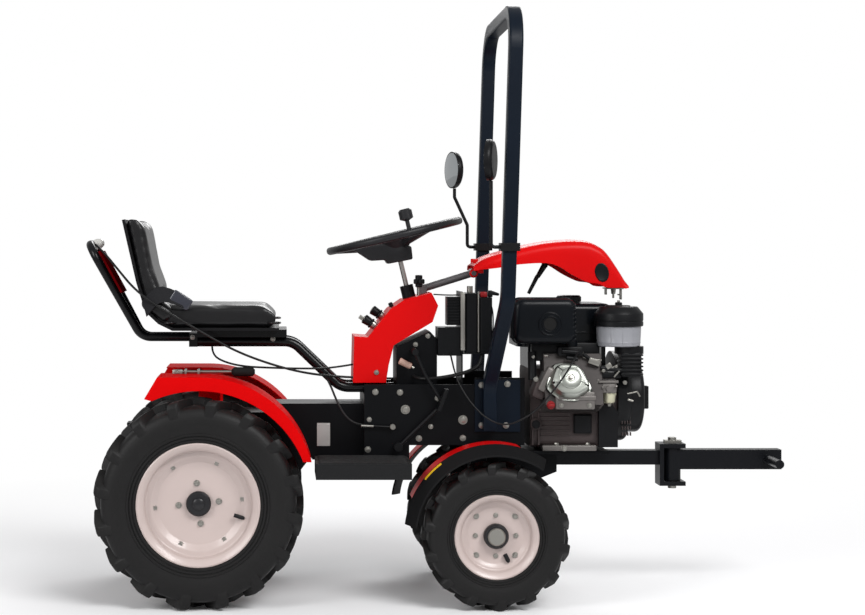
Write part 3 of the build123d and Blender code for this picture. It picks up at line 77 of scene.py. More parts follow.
lens = bpy.data.cameras.new("camera")
lens.sensor_width = SENSOR_WIDTH
lens.lens = FOCAL_PIXELS / PICTURE_SIZE[0] * SENSOR_WIDTH
lens.shift_x = (PICTURE_SIZE[0] / 2 - LEVEL_POINT[0]) / PICTURE_SIZE[0]
lens.shift_y = (LEVEL_POINT[1] - PICTURE_SIZE[1] / 2) / PICTURE_SIZE[0]
camera = linked("camera", lens)
camera.location = CAMERA_PLACE
camera.rotation_euler = (math.radians(90.0), 0.0, 0.0)
scene.camera = camera

for name, place, target, width, height, watts in LAMPS:
    light = bpy.data.lights.new(name, "AREA")
    light.shape = "RECTANGLE"
    light.size = width
    light.size_y = height
    light.energy = watts
    lamp = linked(name, light)
    lamp.location = place
    lamp.rotation_euler = (Vector(target) - Vector(place)).to_track_quat("-Z", "Y").to_euler()


class Link:
    """One value of a finish. Sums written on it become the Math nodes that work them out."""

    def __init__(self, finish, socket):
        self.finish = finish
        self.socket = socket

    def maths(self, operation, first, second):
        return self.finish.node("ShaderNodeMath", {"operation": operation}, {0: first, 1: second})

    def __add__(self, other):
        return self.maths("ADD", self, other)

    def __radd__(self, other):
        return self.maths("ADD", other, self)

    def __sub__(self, other):
        return self.maths("SUBTRACT", self, other)

    def __mul__(self, other):
        return self.maths("MULTIPLY", self, other)


class Finish:
    """A surface built up from shader nodes, on the machine's own coordinates in metres."""

    def __init__(self, tree):
        self.tree = tree
        tree.nodes.clear()
        self.place = self.node("ShaderNodeTexCoord", {}, {}, "Object")

    def node(self, kind, settings, inputs, output=0):
        """Adds one node: its settings first, then the values or links of its sockets."""
        made = self.tree.nodes.new(kind)
        for key, value in settings.items():
            setattr(made, key, value)
        for key, value in inputs.items():
            if isinstance(value, Link):
                self.tree.links.new(value.socket, made.inputs[key])
            else:
                made.inputs[key].default_value = value
        return Link(self, made.outputs[output]) if made.outputs else None

    def noise(self, scale, detail=3.0):
        """Cloudy value from 0 to 1, with features of about 1 / scale metres."""
        return self.node(
            "ShaderNodeTexNoise", {}, {"Vector": self.place, "Scale": scale, "Detail": detail}
        )

    def between(self, value, low, high):
        """The value taken from low to high onto 0 to 1, held at both ends."""
        return self.node("ShaderNodeMapRange", {}, {"Value": value, "From Min": low, "From Max": high})

    def tint(self, mask, under, over):
        """One colour over another by a mask."""
        return self.node(
            "ShaderNodeMix", {"data_type": "RGBA"}, {0: mask, 6: under, 7: over}, 2
        )


def surround():
    """White where it is seen, and dimmer where it only lights the machine or is mirrored in it."""
    scene.world = bpy.data.worlds.new("surround")
    scene.world.use_nodes = True
    sky = Finish(scene.world.node_tree)
    seen = sky.node("ShaderNodeLightPath", {}, {}, "Is Camera Ray")
    mirrored = sky.node("ShaderNodeLightPath", {}, {}, "Is Glossy Ray")
    passed = sky.node("ShaderNodeLightPath", {}, {}, "Is Transmission Ray")
    shown = sky.between(seen + passed, 0.0, 1.0)
    strength = AMBIENT + shown * (1.0 - AMBIENT) + mirrored * MIRRORED
    light = sky.node("ShaderNodeBackground", {}, {"Color": WHITE, "Strength": strength})
    sky.node("ShaderNodeOutputWorld", {}, {"Surface": light})


def floor_finish():
    """Matt pale floor that takes the shadow, fading to plain white away from the machine."""
    material = bpy.data.materials.new("floor")
    material.use_nodes = True
    floor = Finish(material.node_tree)
    matt = floor.node("ShaderNodeBsdfDiffuse", {}, {"Color": FLOOR_COLOUR})
    seen = floor.node("ShaderNodeLightPath", {}, {}, "Is Camera Ray")
    strength = AMBIENT + seen * (1.0 - AMBIENT)
    white = floor.node("ShaderNodeEmission", {}, {"Color": WHITE, "Strength": strength})
    away = floor.node("ShaderNodeVectorMath", {"operation": "LENGTH"}, {0: floor.place}, "Value")
    fade = floor.between(away, *SHADOW_REACH)
    both = floor.node("ShaderNodeMixShader", {}, {0: fade, 1: matt, 2: white})
    floor.node("ShaderNodeOutputMaterial", {}, {"Surface": both})
    return material


surround()
ground = bmesh.new()
bmesh.ops.create_grid(ground, x_segments=1, y_segments=1, size=FLOOR_SIZE)
ground_mesh = bpy.data.meshes.new("floor")
ground.to_mesh(ground_mesh)
ground.free()
ground_mesh.materials.append(floor_finish())
floor = linked("floor", ground_mesh)


# The frame: a welded box spine, side plates, footboards, gear case, hitch and front axle, all in black
# gloss paint over steel. Dust lies on what faces up, and the edges are eased by the paint's thickness.
FRAME_BLACK = (0.0042, 0.0045, 0.0055)
CAST_BLACK = (0.0055, 0.0057, 0.0065)
DUST = (0.075, 0.07, 0.064, 1.0)
EDGE_EASE = 0.0018


def painted(
    name, colour, roughness, gloss=0.3, coat=0.0, metallic=0.0, grain=0.00001, grain_scale=500.0, shade=0.75,
    dust=0.1, ease=EDGE_EASE,
):
    """Sprayed or moulded finish: cloudy colour, dust on top faces, fine grain, eased edges."""
    material = bpy.data.materials.new(name)
    material.use_nodes = True
    paint = Finish(material.node_tree)
    cloud = paint.noise(7.0)
    speck = paint.noise(60.0, 5.0)
    facing = paint.node("ShaderNodeNewGeometry", {}, {}, "Normal")
    upward = paint.node("ShaderNodeSeparateXYZ", {}, {0: facing}, "Z")
    lying = paint.between(upward, 0.55, 1.0) * paint.between(speck, 0.35, 0.75) * dust
    darker = [part * shade for part in colour]
    body = paint.tint(cloud, (*darker, 1.0), (*colour, 1.0))
    fine = paint.noise(grain_scale, 2.0)
    soft = paint.node("ShaderNodeBevel", {"samples": 4}, {"Radius": ease})
    bump = paint.node(
        "ShaderNodeBump", {}, {"Strength": 1.0, "Distance": grain, "Height": fine, "Normal": soft}
    )
    shader = paint.node(
        "ShaderNodeBsdfPrincipled",
        {},
        {
            "Base Color": paint.tint(lying, body, DUST),
            "Roughness": roughness + speck * 0.1 + lying - 0.05,
            "Metallic": metallic,
            "Coat Weight": coat,
            "Coat Roughness": 0.08,
            "Specular IOR Level": gloss,
            "Normal": bump,
        },
    )
    paint.node("ShaderNodeOutputMaterial", {}, {"Surface": shader})
    return material


def dress(finish, *nodes):
    """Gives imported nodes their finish."""
    for node in nodes:
        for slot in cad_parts[node].material_slots:
            slot.material = finish


black_paint = painted("black_gloss", FRAME_BLACK, 0.36, 0.1, dust=0.02)
cast_black = painted("black_cast", CAST_BLACK, 0.45, 0.12, grain=0.0003, grain_scale=260.0, dust=0.1)
dress(black_paint, "spine_frame", "side_plates", "rear_hitch", "engine_bed", "console_frame")
dress(cast_black, "gearbox", "front_axle", "knuckle_right", "knuckle_left")


# Bolts: zinc-plated hexagon heads on washers, in the side plates, the hoop's feet, the console and the
# gear case. One joined piece, each bolt pressed from the same three forms.
ZINC = (0.36, 0.35, 0.32)
PLATE_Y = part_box("side_plates")[0][1]
BOLT_SIZES = {
    # name: across corners, head height, washer radius
    "small": (0.005, 0.004, 0.007),
    "medium": (0.0065, 0.005, 0.0088),
    "large": (0.009, 0.006, 0.013),
}
PLATE_BOLTS = (
    # size, x, z on the side plate
    ("medium", -0.175, 0.577),
    ("medium", -0.106, 0.576),
    ("large", -0.091, 0.528),
    ("small", -0.192, 0.5),
    ("medium", -0.196, 0.416),
    ("medium", -0.053, 0.447),
    ("large", 0.07, 0.499),
    ("medium", 0.07, 0.448),
    ("medium", 0.0, 0.56),
    ("small", -0.02, 0.48),
)
FOOT_BOLTS = ((0.194, 0.6), (0.122, 0.597), (0.19, 0.484), (0.122, 0.484))
FOOT_PAD = 0.0053
WASHER_THICK = 0.0018
RIGHT = (0.0, -1.0, 0.0)
TOUCH = 0.00001


def placing(place, direction):
    """Matrix that stands a shape, made upright at the origin, on a place along a direction."""
    turn = Vector(direction).to_track_quat("Z", "Y").to_matrix().to_4x4()
    return Matrix.Translation(place) @ turn


def spokes(count, first=0.0):
    """Unit vectors spread evenly round the upright axis."""
    turns = [first + index * math.tau / count for index in range(count)]
    return [Vector((math.cos(turn), math.sin(turn), 0.0)) for turn in turns]


def added(shape, part, matrix):
    """Puts a finished part into a larger shape."""
    part.transform(matrix)
    store = bpy.data.meshes.new("store")
    part.to_mesh(store)
    part.free()
    shape.from_mesh(store)
    bpy.data.meshes.remove(store)


def eased(shape, offset, edges=None, segments=2):
    """Rounds the edges given, or all of them."""
    bmesh.ops.bevel(
        shape, geom=edges or shape.edges[:], offset=offset, affect="EDGES", segments=segments, profile=0.5,
        material=-1,
    )


def add_bolt(shape, size, place, direction=RIGHT):
    """Hexagon head with a chamfered crown, on its washer."""
    corner, height, washer = BOLT_SIZES[size]
    disc = bmesh.new()
    bmesh.ops.create_cone(
        disc, cap_ends=True, segments=20, radius1=washer, radius2=washer, depth=WASHER_THICK,
        matrix=Matrix.Translation((0.0, 0.0, WASHER_THICK / 2)),
    )
    added(shape, disc, placing(place, direction))
    head = bmesh.new()
    bmesh.ops.create_cone(
        head, cap_ends=True, segments=6, radius1=corner, radius2=corner, depth=height,
        matrix=Matrix.Translation((0.0, 0.0, WASHER_THICK + height / 2)),
    )
    crown = [edge for edge in head.edges if all(vert.co.z > WASHER_THICK + height / 2 for vert in edge.verts)]
    eased(head, height / 5, crown)
    added(shape, head, placing(place, direction))


def piece(shape, name, finish, stands_for=(), smooth=40.0, body="chassis"):
    """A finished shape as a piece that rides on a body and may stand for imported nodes."""
    bmesh.ops.recalc_face_normals(shape, faces=shape.faces)
    mesh = bpy.data.meshes.new(name)
    shape.to_mesh(mesh)
    shape.free()
    mesh.materials.append(finish)
    mesh.shade_smooth()
    mesh.set_sharp_from_angle(angle=math.radians(smooth))
    made = linked(name, mesh)
    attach(made, body)
    if stands_for:
        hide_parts(*stands_for)
    return made


zinc = painted("zinc_plate", ZINC, 0.34, 0.5, metallic=0.9, grain=0.00002, shade=0.7, dust=0.05, ease=0.0006)
bolts = bmesh.new()
for side in (-1, 1):
    out = (0.0, side, 0.0)
    for size, x, z in PLATE_BOLTS:
        add_bolt(bolts, size, (x, -side * PLATE_Y, z), out)
    for x, z in FOOT_BOLTS:
        add_bolt(bolts, "medium", (x, side * (FOOT_PAD - PLATE_Y), z), out)
piece(bolts, "frame_bolts", zinc)


# Footboards: pressed trays with a coarse anti-slip sheet on top, in a dull black.
TREAD_STRIPS = 9
TREAD_STRIP_HEIGHT = 0.003
TREAD_STRIP_SHARE = 0.45
TREAD_STRIP_RUN = 0.94
board_paint = painted("board_black", CAST_BLACK, 0.55, 0.25, grain=0.0006, grain_scale=200.0, dust=0.35)
dress(board_paint, "footboards")
board_low, board_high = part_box("footboards")
board_inner_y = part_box("side_plates")[1][1]
strips = bmesh.new()
pitch = (board_high[1] - board_inner_y) / TREAD_STRIPS
strip_size = (
    (board_high[0] - board_low[0]) * TREAD_STRIP_RUN, pitch * TREAD_STRIP_SHARE, TREAD_STRIP_HEIGHT * 2,
)
for side in (-1, 1):
    for index in range(TREAD_STRIPS):
        strip = bmesh.new()
        bmesh.ops.create_cube(strip, size=1.0)
        eased(strip, 0.12)
        bmesh.ops.scale(strip, verts=strip.verts, vec=strip_size)
        y = side * (board_inner_y + pitch * (index + 0.5))
        added(strips, strip, Matrix.Translation(((board_low[0] + board_high[0]) / 2, y, board_high[2])))
piece(strips, "footboard_strips", board_paint)


# Blank type plate: a bare aluminium plate held by four rivets on the spine's right-hand side.
TYPE_PLATE = (-0.337, -0.3, 0.419, 0.484)
TYPE_PLATE_THICK = 0.0012
RIVET_RADIUS = 0.0018
ALUMINIUM = (0.62, 0.62, 0.6)
SPINE_Y = -0.075
bare_plate = painted("bare_aluminium", ALUMINIUM, 0.38, 0.5, metallic=0.85, shade=0.85, dust=0.0, ease=0.0004)
plate = bmesh.new()
low_x, high_x, low_z, high_z = TYPE_PLATE
bmesh.ops.create_cube(plate, size=1.0)
bmesh.ops.scale(plate, verts=plate.verts, vec=(high_x - low_x, TYPE_PLATE_THICK, high_z - low_z))
bmesh.ops.translate(plate, verts=plate.verts, vec=((low_x + high_x) / 2, SPINE_Y, (low_z + high_z) / 2))
for x in (low_x + 3 * RIVET_RADIUS, high_x - 3 * RIVET_RADIUS):
    for z in (low_z + 3 * RIVET_RADIUS, high_z - 3 * RIVET_RADIUS):
        rivet = bmesh.new()
        bmesh.ops.create_uvsphere(rivet, u_segments=12, v_segments=8, radius=RIVET_RADIUS)
        added(plate, rivet, Matrix.Translation((x, SPINE_Y - TYPE_PLATE_THICK / 2, z)))
piece(plate, "type_plate", bare_plate)


# Wheels: pressed rims sprayed off-white, with a rolled flange each side of a barrel, a dished disc
# with a raised ring, a ring of bolts, a black hub and a rubber valve.
RIM_WHITE = (0.563, 0.466, 0.44)
HUB_BLACK = (0.01, 0.01, 0.012)
WHEEL_STEPS = 96
WHEEL_SIZES = {
    # axle: flange, barrel, half width, dish face, ring, ring rise, hub, hub tip radius, hub tip height
    "rear": (0.169, 0.1505, 0.056, 0.01, 0.128, 0.014, 0.034, 0.016, 0.024),
    "front": (0.116, 0.1005, 0.043, 0.009, 0.086, 0.008, 0.034, 0.024, 0.034),
}
HUB_BACKS = {"rear": -0.070, "front": -0.026}
WHEEL_BOLTS = {
    # axle: (bolt size, count, circle radius, first angle) for each ring of bolts
    "rear": (("medium", 4, 0.055, 5.5), ("medium", 6, 0.122, 5.8)),
    "front": (("small", 4, 0.055, 0.0), ("medium", 4, 0.0755, 45.0)),
}
VALVES = {
    # axle: circle radius, angle, length, radius
    "rear": (0.131, -17.5, 0.03, 0.0055),
    "front": (0.079, -63.7, 0.024, 0.006),
}
WALL = 0.005


def turned(rows, steps=WHEEL_STEPS):
    """Solid of revolution about the upright axis, from a line of (height, radius) rows."""
    shape = bmesh.new()
    line = [shape.verts.new((radius, 0.0, height)) for height, radius in rows]
    runs = [shape.edges.new(pair) for pair in zip(line, line[1:])]
    if rows[0][1] and rows[-1][1]:
        runs.append(shape.edges.new((line[-1], line[0])))
    bmesh.ops.spin(
        shape, geom=line + runs, cent=(0.0, 0.0, 0.0), axis=(0.0, 0.0, 1.0), angle=math.tau, steps=steps,
        use_merge=True,
    )
    bmesh.ops.remove_doubles(shape, verts=shape.verts, dist=TOUCH)
    return shape


def rim_rows(sizes):
    """Half section of the rim: flange, barrel, far flange, then the disc's back and face."""
    flange, barrel, half, dish, ring, rise, hub, _, _ = sizes
    face = dish + rise
    return (
        (half - 0.002, flange - 0.009),
        (half + 0.0002, flange - 0.0045),
        (half - 0.0012, flange - 0.0006),
        (half - 0.0042, flange),
        (half - 0.0065, flange - 0.0025),
        (half - 0.0075, flange - 0.01),
        (half - 0.0105, barrel + 0.001),
        (-half + 0.0105, barrel + 0.001),
        (-half + 0.0075, flange - 0.01),
        (-half + 0.0042, flange),
        (-half + 0.0002, flange - 0.0045),
        (-half + 0.006, barrel - WALL),
        (face - WALL - 0.002, barrel - WALL),
        (face - WALL, ring + 0.001),
        (dish - WALL, ring - rise),
        (dish - WALL, hub - 0.006),
        (dish, hub - 0.006),
        (dish, ring - rise - 0.004),
        (dish + 0.0015, ring - rise),
        (face - 0.0015, ring - 0.001),
        (face, ring + 0.003),
        (face, barrel - WALL - 0.006),
        (face + 0.002, barrel - WALL - 0.002),
        (face + 0.006, barrel - WALL),
        (half - 0.013, barrel - WALL),
        (half - 0.008, barrel - WALL + 0.003),
    )


def wheel_matrix(axle, side):
    """Stands a wheel, made about the upright axis, on its own axle with its face outboard."""
    word = "right" if side < 0 else "left"
    across, round_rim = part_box(f"{axle}_tyre_{word}"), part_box(f"{axle}_rim_{word}")
    centre = (Vector(round_rim[0]) + Vector(round_rim[1])) / 2
    centre.y = (across[0][1] + across[1][1]) / 2
    return placing(centre, (0.0, side, 0.0))


rim_paint = painted("rim_white", RIM_WHITE, 0.34, 0.45, 0.2, shade=0.88, dust=0.1, ease=0.0012)
hub_paint = painted("hub_black", HUB_BLACK, 0.35, 0.3, 0.2)
valve_rubber = painted("valve_rubber", HUB_BLACK, 0.6, 0.25)
for axle, sizes in WHEEL_SIZES.items():
    dish, ring, rise, hub, tip, tip_rise = sizes[3:]
    for side, word in ((-1, "right"), (1, "left")):
        body = f"{axle}_wheel_{word}"
        stand = wheel_matrix(axle, side)
        rim = turned(rim_rows(sizes))
        rim.transform(stand)
        piece(rim, f"{axle}_rim_{word}_turned", rim_paint, [f"{axle}_rim_{word}"], body=body)
        rows = (
            (HUB_BACKS[axle], 0.0),
            (HUB_BACKS[axle], hub * 0.9),
            (dish + 0.004, hub * 0.9),
            (dish + 0.005, hub),
            (dish + tip_rise * 0.55, hub),
            (dish + tip_rise * 0.7, hub - 0.004),
            (dish + tip_rise * 0.7, tip + 0.003),
            (dish + tip_rise * 0.74, 0.0),
        )
        centre = turned(rows, 48)
        centre.transform(stand)
        piece(centre, f"{axle}_hub_{word}", hub_paint, body=body)
        boss = turned(
            (
                (dish + tip_rise * 0.6, 0.0),
                (dish + tip_rise * 0.6, tip),
                (dish + tip_rise * 0.9, tip),
                (dish + tip_rise, tip - 0.003),
                (dish + tip_rise, 0.0),
            ),
            48,
        )
        cap = bmesh.new()
        boss.transform(stand)
        if axle == "front":
            added(cap, boss, Matrix())
        else:
            piece(boss, f"{axle}_hub_cap_{word}", hub_paint, body=body)
        for size, count, radius, first in WHEEL_BOLTS[axle]:
            seat = dish if radius < ring - rise else dish + rise * 0.2
            for spoke in spokes(count, math.radians(first)):
                place = stand @ (spoke * radius + Vector((0.0, 0.0, seat)))
                add_bolt(cap, size, place, (0.0, side, 0.0))
        piece(cap, f"{axle}_wheel_bolts_{word}", zinc, body=body)
        radius, angle, length, thick = VALVES[axle]
        spin = math.radians(angle if side < 0 else 180.0 - angle)
        stem = ((0.0, 0.0), (0.0, thick), (length * 0.8, thick), (length, thick * 0.6), (length, 0.0))
        valve = turned(stem, 16)
        lean = Vector((math.cos(spin), math.sin(spin), 0.0))
        valve.transform(stand @ placing(lean * (radius - length) + Vector((0.0, 0.0, dish + rise)), lean))
        piece(valve, f"{axle}_valve_{word}", valve_rubber, body=body)


# Tyres: moulded black rubber with ribbed side walls. Lugs lean from the middle to both shoulders in a
# chevron, wider at the shoulder, and run down onto the side wall.
TYRE_BLACK = (0.0092, 0.0088, 0.009)
TYRE_SIZES = {
    # axle: radius, lug height, half width, flange, barrel, lugs a side, lug width, lean in degrees
    "rear": (0.286, 0.019, 0.065, 0.169, 0.1515, 16, 0.025, 38.0),
    "front": (0.2, 0.013, 0.0525, 0.116, 0.1015, 14, 0.02, 38.0),
}
WALL_ROWS = (
    # share of half width, share of the wall's height above the flange
    (0.7, -0.1),
    (0.83, 0.005),
    (0.895, 0.02),
    (0.9, 0.075),
    (0.875, 0.082),
    (0.88, 0.1),
    (0.935, 0.108),
    (0.94, 0.16),
    (0.905, 0.168),
    (0.91, 0.19),
    (0.965, 0.2),
    (0.97, 0.25),
    (0.935, 0.26),
    (0.975, 0.4),
    (0.995, 0.48),
    (0.998, 0.58),
    (0.985, 0.69),
    (0.95, 0.8),
    (0.88, 0.9),
    (0.76, 0.955),
    (0.5, 0.99),
    (0.2, 1.000),
)
LUG_STATIONS = (
    # share along, share of half width at the top, drop of the top, share at the root, drop of the root, width
    (0.00, 0.03, 0.00, 0.03, 1.35, 0.85),
    (0.3, 0.34, 0.00, 0.34, 1.35, 0.9),
    (0.58, 0.62, 0.00, 0.6, 1.4, 1.00),
    (0.78, 0.86, 0.1, 0.78, 1.6, 1.1),
    (0.9, 0.96, 0.75, 0.86, 2.3, 1.12),
    (1.00, 0.995, 2.1, 0.88, 3.4, 1.00),
)
LUG_CUTS = 9
LUG_ROOT_SPREAD = 0.3
LUG_EDGES = ((1, 0.4), (0, 0.45))


def along_lug(share):
    """One station of the lug's run, worked out between the two rows beside it."""
    for first, second in zip(LUG_STATIONS, LUG_STATIONS[1:]):
        if share <= second[0]:
            part = (share - first[0]) / (second[0] - first[0])
            return [low + (high - low) * part for low, high in zip(first, second)]
    return LUG_STATIONS[-1]


def lug(sizes):
    """One lug: an eased box bent along its run over the tread and down the shoulder."""
    radius, height, half, _, _, _, width, lean = sizes
    shape = bmesh.new()
    bmesh.ops.create_cube(shape, size=1.0)
    long_edges = [edge for edge in shape.edges if abs(edge.verts[0].co.x - edge.verts[1].co.x) > 0.5]
    bmesh.ops.subdivide_edges(shape, edges=long_edges, cuts=LUG_CUTS)
    top_edges = [edge for edge in shape.edges if all(vert.co.z > 0.4 for vert in edge.verts)]
    rim_edges = [
        edge for edge in top_edges
        if any(all(abs(vert.co[axis]) > least for vert in edge.verts) for axis, least in LUG_EDGES)
        and len(edge.link_faces) == 2 and edge.calc_face_angle(0.0) > 1.0
    ]
    eased(shape, 0.09, rim_edges)
    for vert in shape.verts:
        share, across, up = vert.co.x + 0.5, vert.co.y, vert.co.z + 0.5
        _, top_at, top_drop, root_at, root_drop, wide = along_lug(min(max(share, 0.0), 1.0))
        place = root_at + (top_at - root_at) * up
        rise = radius - height * (root_drop + (top_drop - root_drop) * up)
        arc = place * half * math.tan(math.radians(lean))
        arc += across * width * wide * (1.0 + LUG_ROOT_SPREAD * (1.0 - up))
        angle = arc / radius
        vert.co = (rise * math.cos(angle), rise * math.sin(angle), place * half)
    return shape


def tyre(sizes):
    """Carcass turned about the upright axis, with its two rings of lugs."""
    radius, height, half, flange, barrel, count, _, _ = sizes
    top = radius - height
    outside = [(share * half, flange + rise * (top - flange)) for share, rise in WALL_ROWS]
    rows = [(0.7 * half, barrel)] + outside
    rows += [(-height_at, wide) for height_at, wide in reversed(rows)]
    shape = turned(rows, 128)
    for side in (1, -1):
        for index in range(count):
            angle = (index + (0.25 if side > 0 else -0.25)) * math.tau / count
            one = lug(sizes)
            if side < 0:
                bmesh.ops.scale(one, verts=one.verts, vec=(1.0, 1.0, -1.0))
                bmesh.ops.reverse_faces(one, faces=one.faces)
            added(shape, one, Matrix.Rotation(angle, 4, "Z"))
    return shape


rubber = painted(
    "tyre_rubber", TYRE_BLACK, 0.5, 0.24, grain=0.0005, grain_scale=190.0, shade=0.55, dust=0.2, ease=0.001
)
for axle, sizes in TYRE_SIZES.items():
    for side, word in ((-1, "right"), (1, "left")):
        carcass = tyre(sizes)
        carcass.transform(wheel_matrix(axle, side))
        piece(
            carcass, f"{axle}_tyre_{word}_moulded", rubber, [f"{axle}_tyre_{word}"], 32.0,
            f"{axle}_wheel_{word}",
        )


# Guards: red pressed bands over the front tyres with drooping black rubber lips and a yellow line
# between them, and red wings over the rear wheels.
BODY_RED = (0.64, 0.0015, 0.0022)
LIP_BLACK = (0.01, 0.01, 0.0105)
LINE_YELLOW = (0.75, 0.45, 0.02)
RED_COAT = {"grain": 0.00003, "grain_scale": 60.0, "shade": 0.92, "dust": 0.0}
red_paint = painted("body_red", BODY_RED, 0.34, 0.12, **RED_COAT)
lip_rubber = painted("lip_rubber", LIP_BLACK, 0.55, 0.08, grain=0.0001, dust=0.0)
wing_paint = painted("wing_red", BODY_RED, 0.6, 0.03, **RED_COAT)
dress(red_paint, "front_guard_right", "front_guard_left", "console")
dress(wing_paint, "rear_wings")
dress(lip_rubber, "guard_lip_right", "guard_lip_left")
LINE_ANGLES = (127.0, 141.5)
LINE_SHARES = (0.06, 0.2)
LINE_THICK = 0.0007
LIP_SINK = 0.025
yellow = painted("line_yellow", LINE_YELLOW, 0.4, 0.1, dust=0.0, ease=0.0004)
for side, word in ((-1, "right"), (1, "left")):
    low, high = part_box(f"front_rim_{word}")
    lip_low, lip_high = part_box(f"guard_lip_{word}")
    axle_x, axle_z = (low[0] + high[0]) / 2, (low[2] + high[2]) / 2
    root_y, outer_y = (lip_high[1], lip_low[1]) if side < 0 else (lip_low[1], lip_high[1])
    start = math.radians(LINE_ANGLES[0])
    line = bmesh.new()
    corners = []
    for end, rise in ((0, 0.0), (1, 0.0), (1, 1.0), (0, 1.0)):
        share = LINE_SHARES[end]
        out = lip_high[2] - axle_z - share * LIP_SINK + rise * LINE_THICK
        y = root_y + share * (outer_y - root_y)
        corners.append(line.verts.new((axle_x + out * math.cos(start), y, axle_z + out * math.sin(start))))
    face = line.faces.new(corners)
    bmesh.ops.spin(
        line, geom=[face], cent=(axle_x, root_y, axle_z), axis=(0.0, -1.0, 0.0), steps=16,
        angle=math.radians(LINE_ANGLES[1] - LINE_ANGLES[0]),
    )
    piece(line, f"guard_line_{word}", yellow, body=f"knuckle_{word}")


# Seat frame: bent tubes and the loop behind the seat in black gloss, with a red reflector and a small
# round lamp with a clear dome.
HOOP_BLACK = (0.004, 0.008, 0.0155)
tube_black = painted("tube_black", FRAME_BLACK, 0.22, 0.2, 0.08, dust=0.0)
hoop_black = painted("hoop_black", HOOP_BLACK, 0.34, 0.12, dust=0.0)
dress(tube_black, "seat_rails", "guard_loop", "seat_base")
dress(hoop_black, "safety_hoop")
REFLECTOR_RED = (0.16, 0.002, 0.004)
LAMP_WHITE = (0.62, 0.61, 0.58)
reflector = painted("reflector_red", REFLECTOR_RED, 0.85, 0.0, shade=0.6, dust=0.0, ease=0.0008)
dress(reflector, "rear_lights")
lamp_glass = painted("lamp_dome", LAMP_WHITE, 0.18, 0.5, 0.4, dust=0.0)
LAMP_RADIUS = 0.0145
LAMP_PLACE = (-0.9695, -0.030, 0.990)
LAMP_FACING = (1.0, 0.0, 0.25)
dome = turned(
    (
        (0.0, 0.0),
        (0.0, LAMP_RADIUS),
        (0.01, LAMP_RADIUS),
        (0.018, LAMP_RADIUS * 0.85),
        (0.024, LAMP_RADIUS * 0.5),
        (0.026, 0.0),
    ),
    32,
)
dome.transform(placing(LAMP_PLACE, LAMP_FACING))
piece(dome, "rear_lamp_dome", lamp_glass)


# Seat: a moulded black shell, and a cushion and a backrest of foam in black vinyl, the cushion with a
# piped seam round its middle. A belt lies over their joint, with its buckle on the cushion.
VINYL_BLACK = (0.008, 0.0078, 0.0088)
PIPING_RADIUS = 0.0032
vinyl = painted(
    "seat_vinyl", VINYL_BLACK, 0.3, 0.3, 0.06, grain=0.00025, grain_scale=420.0, shade=0.8, dust=0.03,
    ease=0.003,
)
shell_plastic = painted("shell_plastic", VINYL_BLACK, 0.45, 0.12, grain=0.0003, grain_scale=300.0, dust=0.04)
dress(shell_plastic, "seat_shell")
PADS = {
    # node: shares of x, y and z that the foam's blank takes, its shift along x, and a point's largest swell
    "seat_cushion": ((1.07, 0.955, 0.82), -0.016, 0.01),
    "seat_backrest": ((0.9, 0.955, 0.985), 0.0, 0.009),
}
PAD_VOXEL = 0.006
PAD_PRESSURE = 4.0
PAD_FRAMES = 20


def pad_blank(node, shares, shift):
    """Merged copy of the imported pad, sized about its middle."""
    blank = bmesh.new()
    blank.from_mesh(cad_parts[node].data)
    bmesh.ops.remove_doubles(blank, verts=blank.verts, dist=0.00005)
    low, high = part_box(node)
    centre = (Vector(low) + Vector(high)) / 2
    bmesh.ops.translate(blank, verts=blank.verts, vec=-centre)
    bmesh.ops.scale(blank, verts=blank.verts, vec=shares)
    bmesh.ops.translate(blank, verts=blank.verts, vec=centre + Vector((shift, 0.0, 0.0)))
    return blank


def evaluated(obj):
    """New mesh with the object's modifiers worked in."""
    bpy.context.view_layer.update()
    return bpy.data.meshes.new_from_object(obj.evaluated_get(bpy.context.evaluated_depsgraph_get()))


for node, (shares, shift, reach) in PADS.items():
    blank = pad_blank(node, shares, shift)
    mesh = bpy.data.meshes.new(f"{node}_foam")
    blank.to_mesh(mesh)
    blank.free()
    pad = linked(f"{node}_stuffed", mesh)
    remesh = pad.modifiers.new("voxels", "REMESH")
    remesh.mode = "VOXEL"
    remesh.voxel_size = PAD_VOXEL
    pad.data = evaluated(pad)
    pad.modifiers.clear()
    before = [vert.co.copy() for vert in pad.data.vertices]
    cloth = pad.modifiers.new("foam", "CLOTH")
    cloth.settings.use_pressure = True
    cloth.settings.uniform_pressure_force = PAD_PRESSURE
    cloth.settings.effector_weights.gravity = 0.0
    cloth.point_cache.frame_start = 1
    cloth.point_cache.frame_end = PAD_FRAMES
    for moment in range(1, PAD_FRAMES + 1):
        scene.frame_set(moment)
    swollen = evaluated(pad)
    pad.modifiers.clear()
    pad.data = swollen
    for vert, start in zip(pad.data.vertices, before):
        move = vert.co - start
        if move.length > reach:
            vert.co = start + move.normalized() * reach
    scene.frame_set(1)
    smooth = bmesh.new()
    smooth.from_mesh(pad.data)
    for _ in range(3):
        bmesh.ops.smooth_vert(
            smooth, verts=smooth.verts, factor=0.5, use_axis_x=True, use_axis_y=True, use_axis_z=True
        )
    smooth.to_mesh(pad.data)
    smooth.free()
    finer = pad.modifiers.new("finer", "SUBSURF")
    finer.levels = 1
    finer.render_levels = 1
    pad.data = evaluated(pad)
    pad.modifiers.clear()
    pad.data.materials.clear()
    pad.data.materials.append(vinyl)
    pad.data.shade_smooth()
    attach(pad, "chassis")
    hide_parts(node)


